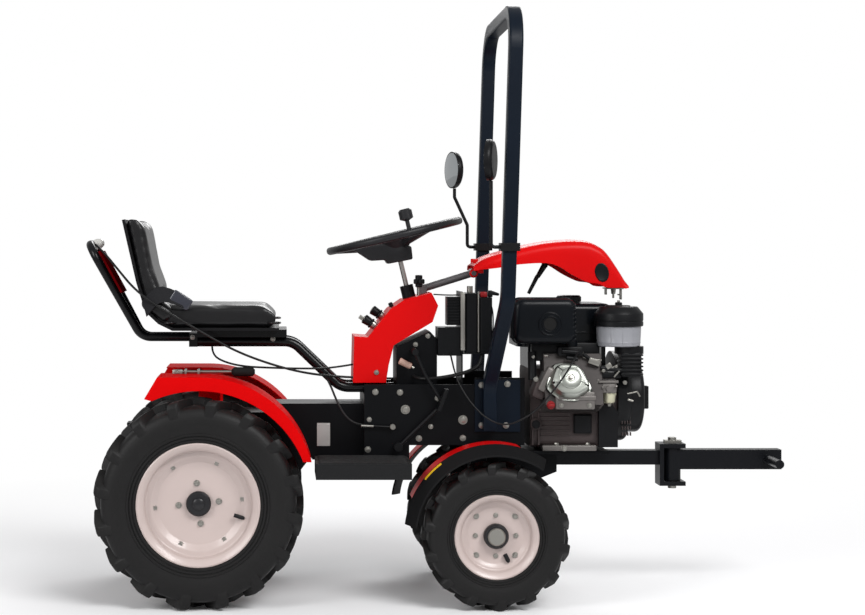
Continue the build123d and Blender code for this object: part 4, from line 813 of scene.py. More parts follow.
def cord_round(name, points, radius, finish, closed=False):
    """Smooth round cord through control points, made a mesh."""
    curve = bpy.data.curves.new(name, "CURVE")
    curve.dimensions = "3D"
    curve.bevel_depth = radius
    curve.bevel_resolution = 3
    curve.use_fill_caps = True
    line = curve.splines.new("NURBS")
    line.points.add(len(points) - 1)
    for point, place in zip(line.points, points):
        point.co = (*place, 1.0)
    line.order_u = 3
    line.use_endpoint_u = not closed
    line.use_cyclic_u = closed
    line.resolution_u = 6
    made = linked(name, curve)
    mesh = evaluated(made)
    bpy.data.objects.remove(made)
    shape = bmesh.new()
    shape.from_mesh(mesh)
    bpy.data.meshes.remove(mesh)
    bmesh.ops.remove_doubles(shape, verts=shape.verts, dist=TOUCH)
    return piece(shape, name, finish)


low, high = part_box("seat_cushion")
PIPE_HEIGHT = 0.014
PIPE_CORNER = 0.045
PIPE_INSET = 0.001
edge_z = low[2] + PIPE_HEIGHT
route = []
for x, y, dx, dy in (
    (high[0], low[1], -1, 1),
    (high[0], high[1], -1, -1),
    (low[0], high[1], 1, -1),
    (low[0], low[1], 1, 1),
):
    x, y = x + dx * PIPE_INSET, y + dy * PIPE_INSET
    corner = [(x, y + dy * PIPE_CORNER, edge_z), (x, y, edge_z), (x + dx * PIPE_CORNER, y, edge_z)]
    if (dx < 0) == (dy < 0):
        corner.reverse()
    route += corner
cord_round("cushion_piping", route, PIPING_RADIUS, vinyl, closed=True)

FOLD_SIZE = (0.098, 0.372, 0.052)
FOLD_PLACE = (-0.782, 0.0, 0.812)
FOLD_TURN = math.radians(38.0)
fold = bmesh.new()
bmesh.ops.create_cube(fold, size=1.0)
bmesh.ops.scale(fold, verts=fold.verts, vec=FOLD_SIZE)
eased(fold, 0.022, segments=5)
fold.transform(Matrix.Translation(FOLD_PLACE) @ Matrix.Rotation(FOLD_TURN, 4, "Y"))
piece(fold, "seat_fold", vinyl)

BELT_BLACK = (0.012, 0.012, 0.014)
BUCKLE_BLUE = (0.03, 0.032, 0.045)
webbing = painted(
    "belt_webbing", BELT_BLACK, 0.75, 0.2, grain=0.0007, grain_scale=900.0, dust=0.15, ease=0.0005
)
buckle_plastic = painted("buckle_plastic", BUCKLE_BLUE, 0.25, 0.4, 0.3, dust=0.0)
BELT_HALF = 0.021
BELT_THICK = 0.0045
BELT_RUN = (
    # x, z along the middle of the web, which lies over the fold on the seat's right-hand side
    (-0.818, 0.812),
    (-0.8, 0.834),
    (-0.782, 0.849),
    (-0.762, 0.853),
    (-0.74, 0.847),
    (-0.715, 0.836),
)
BELT_Y = -0.196
BELT_LEAN = 0.35
BUCKLE_SIZE = (0.060, 0.018, 0.034)
BUCKLE_PLACE = (-0.716, BELT_Y + 0.004, 0.836)
BUCKLE_TURN = math.radians(33.0)
belt = bmesh.new()
x, z = BELT_RUN[0]
first = [
    belt.verts.new((x - side * BELT_HALF * 0.3, BELT_Y + side * BELT_LEAN * BELT_HALF, z + side * BELT_HALF))
    for side in (-1, 1)
]
run = [belt.edges.new(first)]
for (x0, z0), (x1, z1) in zip(BELT_RUN, BELT_RUN[1:]):
    grown = bmesh.ops.extrude_edge_only(belt, edges=run)["geom"]
    moved = [item for item in grown if isinstance(item, bmesh.types.BMVert)]
    bmesh.ops.translate(belt, verts=moved, vec=(x1 - x0, 0.0, z1 - z0))
    run = [
        item for item in grown
        if isinstance(item, bmesh.types.BMEdge) and all(vert in moved for vert in item.verts)
    ]
bmesh.ops.solidify(belt, geom=belt.faces[:], thickness=BELT_THICK)
piece(belt, "seat_belt", webbing, smooth=60.0)
buckle = bmesh.new()
bmesh.ops.create_cube(buckle, size=1.0)
eased(buckle, 0.14, segments=3)
bmesh.ops.scale(buckle, verts=buckle.verts, vec=BUCKLE_SIZE)
buckle.transform(Matrix.Translation(BUCKLE_PLACE) @ Matrix.Rotation(BUCKLE_TURN, 4, "Y"))
piece(buckle, "belt_buckle", buckle_plastic)
seat_bolts = bmesh.new()
for x, z in ((-0.69, 0.727), (-0.462, 0.722)):
    add_bolt(seat_bolts, "small", (x, -0.0765, z))
piece(seat_bolts, "seat_bolts", zinc)


# Lift lever on the right wing: a zinc rod on a pivot foot, with a rubber foam grip.
PLASTIC_BLACK = (0.0065, 0.0068, 0.0078)
FOAM_BLACK = (0.01, 0.01, 0.01)
MM = 0.001


def box_part(shape, low, high, ease=0.002, turn=None):
    """Box with eased edges between two corners, put into a shape."""
    part = bmesh.new()
    bmesh.ops.create_cube(part, size=1.0)
    size = Vector(high) - Vector(low)
    bmesh.ops.scale(part, verts=part.verts, vec=size)
    eased(part, min(ease, min(size) * 0.45))
    centre = Matrix.Translation((Vector(low) + Vector(high)) / 2)
    added(shape, part, centre @ turn if turn else centre)


def rod_part(shape, start, end, radius, end_radius=None, ease=0.001, steps=24):
    """Round bar with eased ends, put into a shape."""
    run = Vector(end) - Vector(start)
    last = radius if end_radius is None else end_radius
    ease = min(ease, min(radius, last) * 0.6, run.length * 0.4)
    part = turned(
        (
            (0.0, 0.0),
            (0.0, radius - ease),
            (ease, radius),
            (run.length - ease, last),
            (run.length, last - ease),
            (run.length, 0.0),
        ),
        steps,
    )
    added(shape, part, placing(start, run))


def box(shape, x0, y0, z0, x1, y1, z1, ease=2.0, turn=0.0):
    """Box in millimetres, turned about Y by radians."""
    stand = Matrix.Rotation(turn, 4, "Y") if turn else None
    box_part(shape, Vector((x0, y0, z0)) * MM, Vector((x1, y1, z1)) * MM, ease * MM, stand)


def rod(shape, x0, y0, z0, x1, y1, z1, radius, end_radius=None, ease=1.0, steps=24):
    """Round bar in millimetres."""
    last = radius if end_radius is None else end_radius
    rod_part(
        shape, Vector((x0, y0, z0)) * MM, Vector((x1, y1, z1)) * MM, radius * MM, last * MM, ease * MM, steps
    )


def fitted(name, finish, rows, body="chassis"):
    """One piece of boxes and rods, from rows of a form and its places and sizes in millimetres."""
    shape = bmesh.new()
    for form, *row in rows:
        form(shape, *row)
    piece(shape, name, finish, body=body)


plastic = painted("black_plastic", PLASTIC_BLACK, 0.38, 0.16, grain=0.00008, grain_scale=300.0, dust=0.04)
foam = painted("foam_grip", FOAM_BLACK, 0.75, 0.15, grain=0.0006, grain_scale=500.0, dust=0.05)
low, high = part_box("lift_lever")
lever_y, lever_z = (low[1] + high[1]) / 2, (low[2] + high[2]) / 2
GRIP_START = -0.577
lever = bmesh.new()
rod_part(lever, (low[0], lever_y, lever_z), (GRIP_START, lever_y, lever_z), 0.0045)
box_part(lever, (low[0], lever_y - 0.01, low[2]), (low[0] + 0.028, lever_y + 0.01, lever_z + 0.006))
for x in (-0.708, -0.672):
    box_part(lever, (x, lever_y - 0.014, low[2]), (x + 0.006, lever_y + 0.014, lever_z + 0.008), 0.001)
add_bolt(lever, "small", (low[0] + 0.014, lever_y - 0.01, lever_z - 0.002))
piece(lever, "lever_rod", zinc)
grip = bmesh.new()
grip_end = (high[0], lever_y, lever_z)
rod_part(grip, (GRIP_START, lever_y, lever_z), grip_end, (high[2] - low[2]) / 2, ease=0.007, steps=32)
piece(grip, "lever_grip", foam, ["lift_lever"])


# Console: folded red sheet with a bolt, two key switches on its slope and a star knob on a thin rod.
# The column's collar is black and its shaft bright, below a moulded steering wheel with a spinner.
SHAFT_STEEL = (0.5, 0.47, 0.45)
WHEEL_BLACK = (0.016, 0.016, 0.018)
FILTER_TAN = (0.55, 0.36, 0.29)
shaft_steel = painted("shaft_steel", SHAFT_STEEL, 0.26, 0.5, metallic=1.0, shade=0.8, dust=0.0, ease=0.0006)
wheel_skin = painted("wheel_skin", WHEEL_BLACK, 0.38, 0.26, grain=0.0002, grain_scale=350.0, dust=0.04)
dress(plastic, "column_collar")
COWL_POINTS = (
    # x, z of the hub moulding's side view
    (-0.246, 0.981), (-0.221, 0.968), (-0.183, 0.943), (-0.14, 0.9455), (-0.135, 0.934), (-0.062, 0.948),
    (-0.066, 0.985), (-0.1, 0.997), (-0.18, 0.992),
)
COWL_HALF = 0.036
cowl = bmesh.new()
side_face = cowl.faces.new([cowl.verts.new((x, -COWL_HALF, z)) for x, z in COWL_POINTS])
grown = bmesh.ops.extrude_face_region(cowl, geom=[side_face])["geom"]
moved = [item for item in grown if isinstance(item, bmesh.types.BMVert)]
bmesh.ops.translate(cowl, verts=moved, vec=(0.0, 2 * COWL_HALF, 0.0))
eased(cowl, 0.005, segments=3)
dress(shaft_steel, "steering_shaft")
dress(wheel_skin, "steering_wheel")
piece(cowl, "wheel_cowl", wheel_skin, body="steering")
fasteners = bmesh.new()
add_bolt(fasteners, "small", (-0.169, -0.0855, 0.628))
for x, z in ((-0.023, 0.731), (-0.058, 0.707)):
    add_bolt(fasteners, "small", (x, -0.0805, z))
piece(fasteners, "console_bolts", zinc)
switches = bmesh.new()
collars = bmesh.new()
SLOPE_OUT = Vector((-0.83, 0.0, 0.555))
STAR_MIDDLE = Vector((-0.046, -0.045, 0.8775))
STAR_REACH = 0.0105
STAR_HEIGHT = Vector((0.0, 0.0, 0.014))
for x, y, z in ((-0.176, -0.038, 0.7615), (-0.15, 0.02, 0.785)):
    seat = Vector((x, y, z))
    rod_part(collars, seat - SLOPE_OUT * 0.006, seat + SLOPE_OUT * 0.005, 0.0125)
    rod_part(switches, seat + SLOPE_OUT * 0.004, seat + SLOPE_OUT * 0.01, 0.015, 0.0145)
    rod_part(switches, seat + SLOPE_OUT * 0.01, seat + SLOPE_OUT * 0.032, 0.0125, 0.014, 0.002)
    rod_part(collars, seat + SLOPE_OUT * 0.031, seat + SLOPE_OUT * 0.0335, 0.0085)
box(collars, -217, -38.5, 774, -199, -37, 786, 0.5, 0.59)
rod(collars, -46, -45, 838, -46, -45, 872, 3.5)
rod(switches, -46, -45, 868, -46, -45, 903, 10, 10.5, 2)
for spoke in spokes(5):
    centre = STAR_MIDDLE + spoke * STAR_REACH
    rod_part(switches, centre, centre + STAR_HEIGHT, 0.0062, ease=0.002)
rod(switches, -122, -30, 812, -128, -30, 824, 6.5, ease=2)
piece(switches, "console_switches", plastic, ["console_controls"])
piece(collars, "switch_collars", zinc)
filter_part = bmesh.new()
rod(filter_part, -106, -112, 663, -72, -112, 646, 9.5, 8.5, 2)
filter_tan = painted("filter_tan", FILTER_TAN, 0.45, 0.3, dust=0.0)
piece(filter_part, "fuse_case", filter_tan)
fitted("fuse_holder", zinc, (
    (rod, -72, -112, 646, -64, -112, 642, 4),
    (rod, -90, -78, 654.5, -90, -112, 654.5, 4),
))


# Hoop details and mirrors: moulded black heads and clamps, with the glass towards the driver.
MIRROR_GLASS = (0.55, 0.58, 0.6)
dress(plastic, "mirrors")
glass = painted("mirror_glass", MIRROR_GLASS, 0.06, 0.5, metallic=1.0, dust=0.0, ease=0.0004)
MIRROR_RADIUS = 0.0525
MIRROR_YAW = math.radians(17.0)
MIRROR_Y = 0.32
MIRROR_Z = 1.218
GLASS_OUT = 0.0098
GLASS_ROWS = (
    (0.0, 0.0), (0.0, MIRROR_RADIUS), (0.0008, MIRROR_RADIUS), (0.0014, MIRROR_RADIUS - 0.002), (0.0014, 0.0),
)
for side, word, x in ((-1, "right", 0.128), (1, "left", 0.091)):
    facing = Vector((-math.cos(MIRROR_YAW), -side * math.sin(MIRROR_YAW), 0.0))
    centre = Vector((x, side * MIRROR_Y, MIRROR_Z)) + facing * GLASS_OUT
    disc = turned(GLASS_ROWS, 48)
    disc.transform(placing(centre, facing))
    piece(disc, f"mirror_glass_{word}", glass)


# Electrics: two battery cases on a bracket, with a red terminal and its boot, and two finned boxes
# behind them. Black cables run from the lamp, the seat and the throttle, clipped at both ends.
CASE_BLACK = (0.0055, 0.006, 0.007)
TERMINAL_RED = (0.3, 0.01, 0.012)
CABLE_BLACK = (0.009, 0.009, 0.0095)
case_plastic = painted("case_plastic", CASE_BLACK, 0.34, 0.15, dust=0.02)
cable_skin = painted("cable_skin", CABLE_BLACK, 0.42, 0.22, dust=0.0, ease=0.0004)
terminal_red = painted("terminal_red", TERMINAL_RED, 0.4, 0.3, dust=0.0)
dress(case_plastic, "battery", "control_boxes", "battery_bracket")
dress(plastic, "pedal")
fitted("battery_trim", zinc, (
    (box, 67, -110.8, 692, 71.5, -105.5, 856, 0.5),
    (box, 67, -111.8, 692, 79, -110.5, 856, 0.4),
    (rod, 117.5, -107, 686, 117.5, -107, 858, 2.2),
    (rod, 98, -60, 852.5, 98, -60, 872, 8.5),
    (rod, 139, -78, 839.5, 139, -78, 846, 6),
))
fitted("terminal_boot", plastic, (
    (box, 147, -88, 840.5, 160, -66, 860, 3),
    (rod, 158, -78, 853, 179, -78, 848, 6, 4, 2),
))
fitted("terminal_cover", terminal_red, (
    (box, 124, -92, 840.5, 144, -64, 856, 3),
))
fins = bmesh.new()
for index in range(9):
    z = 0.768 + index * 0.0082
    box_part(fins, (0.032, -0.0985, z), (0.067, -0.0945, z + 0.003), 0.0006)
piece(fins, "regulator_fins", case_plastic)
CABLES = (
    # name, radius, then the route as x, y, z, in millimetres
    ("lamp", 3.3, (
        (-967.9, -50, 990), (-944, -82, 972), (-899, -140, 924), (-844, -196, 864), (-774, -206, 814),
        (-691, -208, 767), (-622, -205, 726), (-553, -190, 689), (-470, -165, 657), (-386, -130, 632),
        (-301, -96, 618), (-235.5, -82, 614),
    )),
    ("seat", 2.8, (
        (-635, -62, 700.5), (-634, -68, 676), (-598, -88, 657), (-545, -104, 646), (-470, -113, 643),
        (-386, -115, 641), (-301, -96, 640), (-235.5, -72, 650),
    )),
    ("throttle", 2.4, (
        (396, -168, 690), (384, -205, 697), (364, -246, 672), (338, -256, 633), (308, -256, 592),
        (286, -248, 562), (245, -226, 518), (184, -208, 487), (130, -197, 506), (86, -187, 551),
        (59, -172, 596), (46, -148, 634), (40, -126, 668), (38, -100.5, 684),
    )),
    ("loom", 5.2, (
        (-64, -82, 618), (-56, -112, 612), (-12, -124, 613), (38, -124, 620), (86, -124, 632),
        (122, -116, 650), (127, -98, 680),
    )),
    ("brake", 3, (
        (-318, -76.5, 626), (-302, -100, 600), (-281, -128, 545), (-252, -148, 499), (-212, -151, 483),
        (-127, -151, 480),
    )),
    ("choke", 2, (
        (2, 28, 846), (60, 30, 842), (110, 0, 850), (150, -60, 838), (168, -70, 790), (160, -60, 700),
    )),
)
for name, radius, route in CABLES:
    places = [Vector(place) * MM for place in route]
    cord_round(f"cable_{name}", places, radius * MM, cable_skin)
fitted("cable_ends", zinc, (
    (rod, -127, -140.3, 480, -127, -156, 480, 8),
    (rod, -216, -151, 483.5, -180, -151, 482, 3.8),
    (rod, 396, -160, 686, 396, -174, 693, 5.5),
))


# Engine: cast crankcase with ribs and a bright foot, cylinder with fins, and an aluminium head. The
# pressed bright cover lies over a dark gasket, with a red dipstick below it.
CAST_BROWN = (0.062, 0.047, 0.046)
CAST_GREY = (0.2, 0.185, 0.175)
BLOCK_GREY = (0.06, 0.052, 0.05)
COVER_BRIGHT = (0.46, 0.48, 0.44)
# This black is the gasket's own colour, and also painted shade on the disc that fills the silencer's outlet.
GASKET_AND_BORE_SHADE = (0.006, 0.006, 0.006)
BOWL_YELLOW = (0.62, 0.6, 0.44)
CASTING = {"grain": 0.0004, "grain_scale": 330.0}
case_cast = painted(
    "case_cast", CAST_BROWN, 0.55, 0.25, grain=0.0005, grain_scale=300.0, shade=0.55, dust=0.05
)
head_cast = painted("head_cast", CAST_GREY, 0.42, 0.4, metallic=0.55, shade=0.6, **CASTING)
cover_bright = painted(
    "cover_bright", COVER_BRIGHT, 0.34, 0.5, metallic=1.0, shade=0.85, dust=0.0, ease=0.0008
)
gasket_and_bore_shade = painted("gasket_and_bore_shade", GASKET_AND_BORE_SHADE, 0.6, 0.2, dust=0.0)
dress(case_cast, "crankcase")
block_cast = painted("block_cast", BLOCK_GREY, 0.5, 0.3, metallic=0.3, shade=0.5, **CASTING)
dress(block_cast, "cylinder_block")
ribs = bmesh.new()
face_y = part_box("crankcase")[0][1]
for index in range(7):
    z = 0.452 + index * 0.0125
    box_part(ribs, (0.29, face_y - 0.0035, z), (0.374, face_y + 0.002, z + 0.004), 0.0012)
for x in (0.2655, 0.283):
    box_part(ribs, (x, face_y - 0.008, 0.426), (x + 0.005, face_y + 0.002, 0.52), 0.0015)
rod_part(ribs, (0.277, face_y + 0.002, 0.485), (0.277, face_y - 0.012, 0.485), 0.0165, ease=0.003)
box(ribs, 262, -185, 560, 300, -105, 612, 10, 0.35)
piece(ribs, "case_ribs", case_cast)
plug = bmesh.new()
rod_part(plug, (0.277, face_y - 0.011, 0.485), (0.277, face_y - 0.0165, 0.485), 0.012, ease=0.002)
piece(plug, "case_plug", plastic)
fitted("head_casting", head_cast, (
    (box, 318, -214, 534, 428, -150, 584, 5),
    (box, 326, -218, 560, 430, -160, 573, 3),
    (box, 284, -196, 578, 312, -120, 652, 9, 0.45),
    (box, 296, -122, 409.5, 448, -98, 425.5, 3),
))
screws = bmesh.new()
for size, x, y, z in (
    ("medium", 0.3565, -0.122, 0.4175),
    ("small", 0.334, -0.2145, 0.546),
    ("small", 0.412, -0.2145, 0.546),
    ("small", 0.268, -0.186, 0.616),
):
    add_bolt(screws, size, (x, y, z))
for x in (0.3365, 0.4245):
    add_bolt(screws, "medium", (x, -0.112, 0.4255), (0.0, 0.0, 1.0))
piece(screws, "engine_screws", zinc)

COVER_POINTS = (
    # outline seen along the cylinder: x and height from the cover's middle
    (-0.035, 0.056), (0.017, 0.056), (0.037, 0.043), (0.064, -0.014), (0.061, -0.031),
    (0.021, -0.053), (-0.026, -0.05), (-0.061, -0.02), (-0.062, -0.004), (-0.046, 0.041),
)
COVER_STEPS = (
    # height of the step's top over the flange, and how far the outline is drawn in there
    (0.0, 0.0),
    (0.0045, 0.0),
    (0.0055, 0.0015),
    (0.0055, 0.0065),
    (0.01, 0.008),
    (0.03, 0.01),
    (0.035, 0.013),
    (0.037, 0.018),
)
COVER_MIDDLE = Vector((0.357, -0.196, 0.606))
COVER_TILT = 0.35
COVER_DISC = (
    (0.034, 0.0), (0.034, 0.031), (0.0395, 0.03), (0.0425, 0.026), (0.043, 0.012), (0.04, 0.01),
    (0.04, 0.0),
)


def stacked(points, steps, corner):
    """One rounded outline repeated at each step, drawn in there, joined by side walls and capped."""
    flat = bmesh.new()
    face = flat.faces.new([flat.verts.new((across, up, 0.0)) for across, up in points])
    bmesh.ops.bevel(
        flat, geom=face.verts[:], offset=corner, affect="VERTICES", segments=5, profile=0.5, material=-1
    )
    flat.faces.ensure_lookup_table()
    outline = [vert.co.copy() for vert in flat.faces[0].verts]
    flat.free()
    half_across = max(abs(place.x) for place in outline)
    half_up = max(abs(place.y) for place in outline)
    shape = bmesh.new()
    loops = []
    for height, inset in steps:
        share = Vector((1.0 - inset / half_across, 1.0 - inset / half_up, 0.0))
        ring = [shape.verts.new((place.x * share.x, place.y * share.y, height)) for place in outline]
        loops.append([shape.edges.new(pair) for pair in zip(ring, ring[1:] + ring[:1])])
    for first, second in zip(loops, loops[1:]):
        bmesh.ops.bridge_loops(shape, edges=first + second)
    bmesh.ops.contextual_create(shape, geom=loops[0])
    bmesh.ops.contextual_create(shape, geom=loops[-1])
    return shape


cover_turn = Vector((0.0, -math.cos(COVER_TILT), math.sin(COVER_TILT)))
cover_stand = Matrix.Translation(COVER_MIDDLE) @ Matrix.Rotation(math.pi / 2 - COVER_TILT, 4, "X")
cover = stacked(COVER_POINTS, COVER_STEPS, 0.012)
added(cover, turned(COVER_DISC, 64), Matrix.Translation((0.0, 0.004, 0.0)))
cover.transform(cover_stand)
piece(cover, "valve_cover_pressed", cover_bright, ["valve_cover"], 35.0)
seal = stacked(COVER_POINTS, ((-0.004, 0.0), (0.0, 0.0)), 0.012)
bmesh.ops.scale(seal, verts=seal.verts, vec=(1.03, 1.03, 1.0))
seal.transform(cover_stand)
piece(seal, "cover_gasket", gasket_and_bore_shade)
nut = bmesh.new()
add_bolt(nut, "medium", COVER_MIDDLE + cover_turn * 0.04 + Vector((0.0, 0.0014, 0.0038)), cover_turn)
piece(nut, "cover_nut", zinc)
fitted("dipstick_cap", terminal_red, (
    (rod, 306, -190, 549, 306, -214, 546, 10.5, 11.5, 2),
    (box, 297, -220.5, 542.5, 315, -213.5, 549.5, 2),
))


# Engine fittings: silencer with its outlet and louvres, tank, air cleaner with a clear bowl and a ribbed
# neck, carburettor with its yellow-plated bowl and springs, fan housing and pull starter.
SILENCER_BLACK = (0.003, 0.0042, 0.0062)
CLEAR_GREY = (0.3, 0.305, 0.33)
silencer_black = painted("silencer_black", SILENCER_BLACK, 0.3, 0.14, 0.02, grain=0.00008, dust=0.02)
tank_black = painted("tank_black", SILENCER_BLACK, 0.22, 0.2, 0.1, dust=0.0)
clear_bowl = painted(
    "clear_bowl", CLEAR_GREY, 0.3, 0.35, grain=0.0002, grain_scale=90.0, shade=0.72, dust=0.0
)
bowl_yellow = painted("bowl_yellow", BOWL_YELLOW, 0.32, 0.5, metallic=0.7, dust=0.0)
dress(tank_black, "fuel_tank")
dress(plastic, "cleaner_neck", "fan_housing", "pull_starter")
SILENCER_POINTS = ((-0.0855, -0.062), (0.0855, -0.062), (0.0855, 0.062), (-0.0855, 0.062))
SILENCER_STEPS = (
    # depth towards the outside, and how far the outline is drawn in there
    (-0.124, 0.01),
    (-0.118, 0.003),
    (-0.112, 0.0),
    (-0.064, 0.0),
    (-0.062, -0.003),
    (-0.058, -0.003),
    (-0.056, 0.0),
    (-0.016, 0.0),
    (-0.007, 0.003),
    (-0.002, 0.009),
    (0.0, 0.018),
)
SILENCER_MIDDLE = Vector((0.29, -0.2205, 0.778))
outlet_at = Vector((0.3025, SILENCER_MIDDLE.y, 0.7705))
can = stacked(SILENCER_POINTS, SILENCER_STEPS, 0.022)
can.transform(Matrix.Translation(SILENCER_MIDDLE) @ Matrix.Rotation(math.pi / 2, 4, "X"))
OUTLET = (
    # height over the can's face, radius
    (-0.009, 0.0), (-0.009, 0.0335), (0.0, 0.0335), (0.0024, 0.0325), (0.003, 0.0305), (0.0012, 0.029),
    (0.0012, 0.0235), (0.0035, 0.0225), (0.0035, 0.0205), (-0.004, 0.0195), (-0.006, 0.0185),
    (-0.006, 0.0),
)
ring = turned(OUTLET, 64)
added(can, ring, placing(outlet_at, RIGHT))
for index in range(9):
    z = 0.724 + index * 0.0118
    box_part(can, (0.358, -0.2185, z), (0.3765, -0.205, z + 0.0035), 0.0012, Matrix.Rotation(-0.5, 4, "Y"))
box(can, 201, -180, 728, 208, -130, 826, 2)
rod(can, 372, -150, 600, 372, -150, 722, 17)
piece(can, "silencer_can", silencer_black, ["silencer"], 35.0)
# A dark disc fills the outlet's bore: painted shade for the inside of the pipe.
bore_shade_disc = bmesh.new()
rod_part(bore_shade_disc, outlet_at + Vector((0.0, 0.004, 0.0)), outlet_at + Vector((0.0, -0.0002, 0.0)), 0.0185)
piece(bore_shade_disc, "outlet_painted_shade", gasket_and_bore_shade)

cap_trim = bmesh.new()
CAP_MIDDLE = Vector((0.392, 0.020, 0.826))
CAP_RADIUS = 0.0335
for spoke in spokes(24):
    start = CAP_MIDDLE + spoke * CAP_RADIUS
    rod_part(cap_trim, start, start + Vector((0.0, 0.0, 0.014)), 0.0022, steps=8)
piece(cap_trim, "tank_cap_grips", plastic)

lid_low, lid_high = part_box("cleaner_cap")
lid_x, lid_y = (lid_low[0] + lid_high[0]) / 2, (lid_low[1] + lid_high[1]) / 2
lid = turned(
    (
        (0.762, 0.0), (0.762, 0.0655), (0.764, 0.068), (0.7745, 0.068), (0.7755, 0.0665),
        (0.7775, 0.0665), (0.7785, 0.068), (0.796, 0.068), (0.7985, 0.0672), (0.815, 0.0535),
        (0.817, 0.0505), (0.818, 0.0),
    ),
    96,
)
lid.transform(Matrix.Translation((lid_x, lid_y, 0.0)))
box_part(lid, (lid_x - 0.036, lid_y - 0.02, 0.816), (lid_x + 0.03, lid_y + 0.02, 0.8205), 0.002)
rod_part(lid, (lid_x, lid_y, 0.8195), (lid_x, lid_y, 0.8285), 0.01, ease=0.002)
piece(lid, "cleaner_lid", plastic, ["cleaner_cap"])
nut = bmesh.new()
rod_part(nut, (lid_x, lid_y, 0.828), (lid_x, lid_y, 0.834), 0.004)
piece(nut, "cleaner_stud", zinc)
bowl = turned(
    (
        (0.706, 0.0), (0.706, 0.056), (0.7085, 0.059), (0.716, 0.06), (0.7175, 0.061), (0.7195, 0.06),
        (0.74, 0.0612), (0.7615, 0.062), (0.7615, 0.0),
    ),
    96,
)
bowl.transform(Matrix.Translation((lid_x, lid_y, 0.0)))
for spoke in spokes(12):
    start = Vector((lid_x, lid_y, 0.712)) + spoke * 0.0595
    rod_part(bowl, start, start + Vector((0.0, 0.0, 0.046)) + spoke * 0.0015, 0.0012, steps=6)
piece(bowl, "cleaner_dust_bowl", clear_bowl, ["cleaner_bowl"])
neck_ribs = bmesh.new()
neck_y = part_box("cleaner_neck")[0][1]
for index in range(6):
    z = 0.628 + index * 0.0105
    box_part(neck_ribs, (0.503, neck_y - 0.004, z), (0.566, neck_y + 0.06, z + 0.005), 0.002)
box_part(neck_ribs, (0.506, neck_y + 0.0005, 0.622), (0.562, neck_y + 0.06, 0.69), 0.004)
piece(neck_ribs, "cleaner_neck_ribs", plastic)

CARB_MIDDLE = Vector((0.474, -0.168, 0.0))
fitted("carburettor_body", head_cast, (
    (box, 441, -196, 606, 496, -140, 613, 1.5),
    (box, 450, -192, 577, 492, -140, 607, 6),
    (box, 437, -190, 572, 444, -142, 617, 2),
    (rod, 470, -190, 590, 470, -198, 590, 9),
    (rod, 452, -188, 594, 452, -199, 594, 4),
    (rod, 489, -188, 594, 489, -199, 598, 3.5),
))
BOWL_ROWS = (
    (0.548, 0.0), (0.548, 0.012), (0.5515, 0.0165), (0.568, 0.0185), (0.5725, 0.0205), (0.577, 0.0205),
    (0.577, 0.0),
)
float_bowl = turned(BOWL_ROWS, 48)
float_bowl.transform(Matrix.Translation(CARB_MIDDLE))
piece(float_bowl, "float_bowl", bowl_yellow, ["carburettor"])
linkage = bmesh.new()
for row in (
    (474, -168, 540, 474, -168, 549, 6.5),
    (515, -182, 607, 515, -190, 607, 6),
    (396, -168, 696, 400, -176, 682, 5),
    (400, -176, 676, 452, -176, 668, 1.6),
    (455, -186, 640, 490, -186, 652, 1.6),
    (455, -186, 640, 455, -192, 640, 5),
    (490, -186, 652, 490, -192, 652, 4.5),
    (484, -188, 622, 500, -188, 640, 2.2),
    (520, -190, 576, 548, -190, 582, 2),
    (548, -190, 582, 556, -190, 568, 2.6),
    (522, -188, 560, 538, -188, 556, 3),
    (262, -170, 677, 262, -178, 677, 4.5),
    (290, -196, 682, 300, -200, 682, 3.5),
):
    rod(linkage, *row, steps=12)
box(linkage, 414, -190, 656, 446, -187, 672, 1, 0.35)
box(linkage, 462, -189, 646, 478, -187, 660, 1, -0.6)
piece(linkage, "engine_linkage", zinc)
dark = bmesh.new()
for row in (
    (400, -178, 686, 445, -178, 652, 5),
    (340, -186, 694, 392, -186, 690, 7),
    (352, -190, 676, 384, -190, 672, 6),
    (448, -182, 648, 508, -182, 640, 7),
    (262, -160, 612, 262, -150, 690, 12),
):
    rod(dark, *row, steps=16)
box(dark, 262, -150, 664, 452, -118, 715.5, 4)
box(dark, 330, -184, 680, 400, -140, 706, 4)
box(dark, 436, -180, 618, 506, -150, 636, 4)
piece(dark, "engine_brackets", plastic)

vents = bmesh.new()
for row in range(5):
    for column in range(4):
        x, z = 0.52 + column * 0.0075, 0.452 + row * 0.016
        box_part(vents, (x, -0.118 + row * 0.003, z), (x + 0.0035, -0.1085 + row * 0.003, z + 0.01), 0.001)
piece(vents, "housing_grille", case_cast)


# Front bar and its cross bar: black gloss tubes joined by a bright pin with a spring clip.
BAR_BLACK = (0.0055, 0.006, 0.0078)
bar_black = painted("bar_black", BAR_BLACK, 0.32, 0.15, dust=0.0)
dress(bar_black, "front_drawbar", "swing_bar")
dress(zinc, "swing_pin")
dress(shaft_steel, "tie_rod")


# Hood: one pressed red sheet with rolled edges, humped over the engine and drooping to its nose. It
# hangs on two ears at its rear end, with a dark latch under the nose and a plain oval pad on each side.
HOOD_CREST = (
    # x, height of the top line
    (0.106, 0.9315), (0.13, 0.952), (0.2, 0.9745), (0.29, 0.9955), (0.36, 1.0035), (0.425, 1.0025),
    (0.455, 0.992), (0.48, 0.974), (0.512, 0.929), (0.54, 0.883), (0.544, 0.874),
)
HOOD_EDGE = (
    # x, height of the lower edge
    (0.106, 0.917), (0.176, 0.924), (0.222, 0.9324), (0.31, 0.9372), (0.345, 0.928), (0.382, 0.905),
    (0.428, 0.883), (0.461, 0.878), (0.478, 0.8685), (0.544, 0.868),
)
HOOD_HALF = 0.0948
HOOD_ROUND = 0.024
HOOD_CROWN = 0.004
HOOD_WALL = 0.0028
EAR_NEAR = 30.3
EAR_FAR = 35.3
HOOD_FLAT_SHARE = 0.5
HOOD_SIDE_SHARE = 0.78
HOOD_STATIONS = 44
HOOD_ACROSS = 36


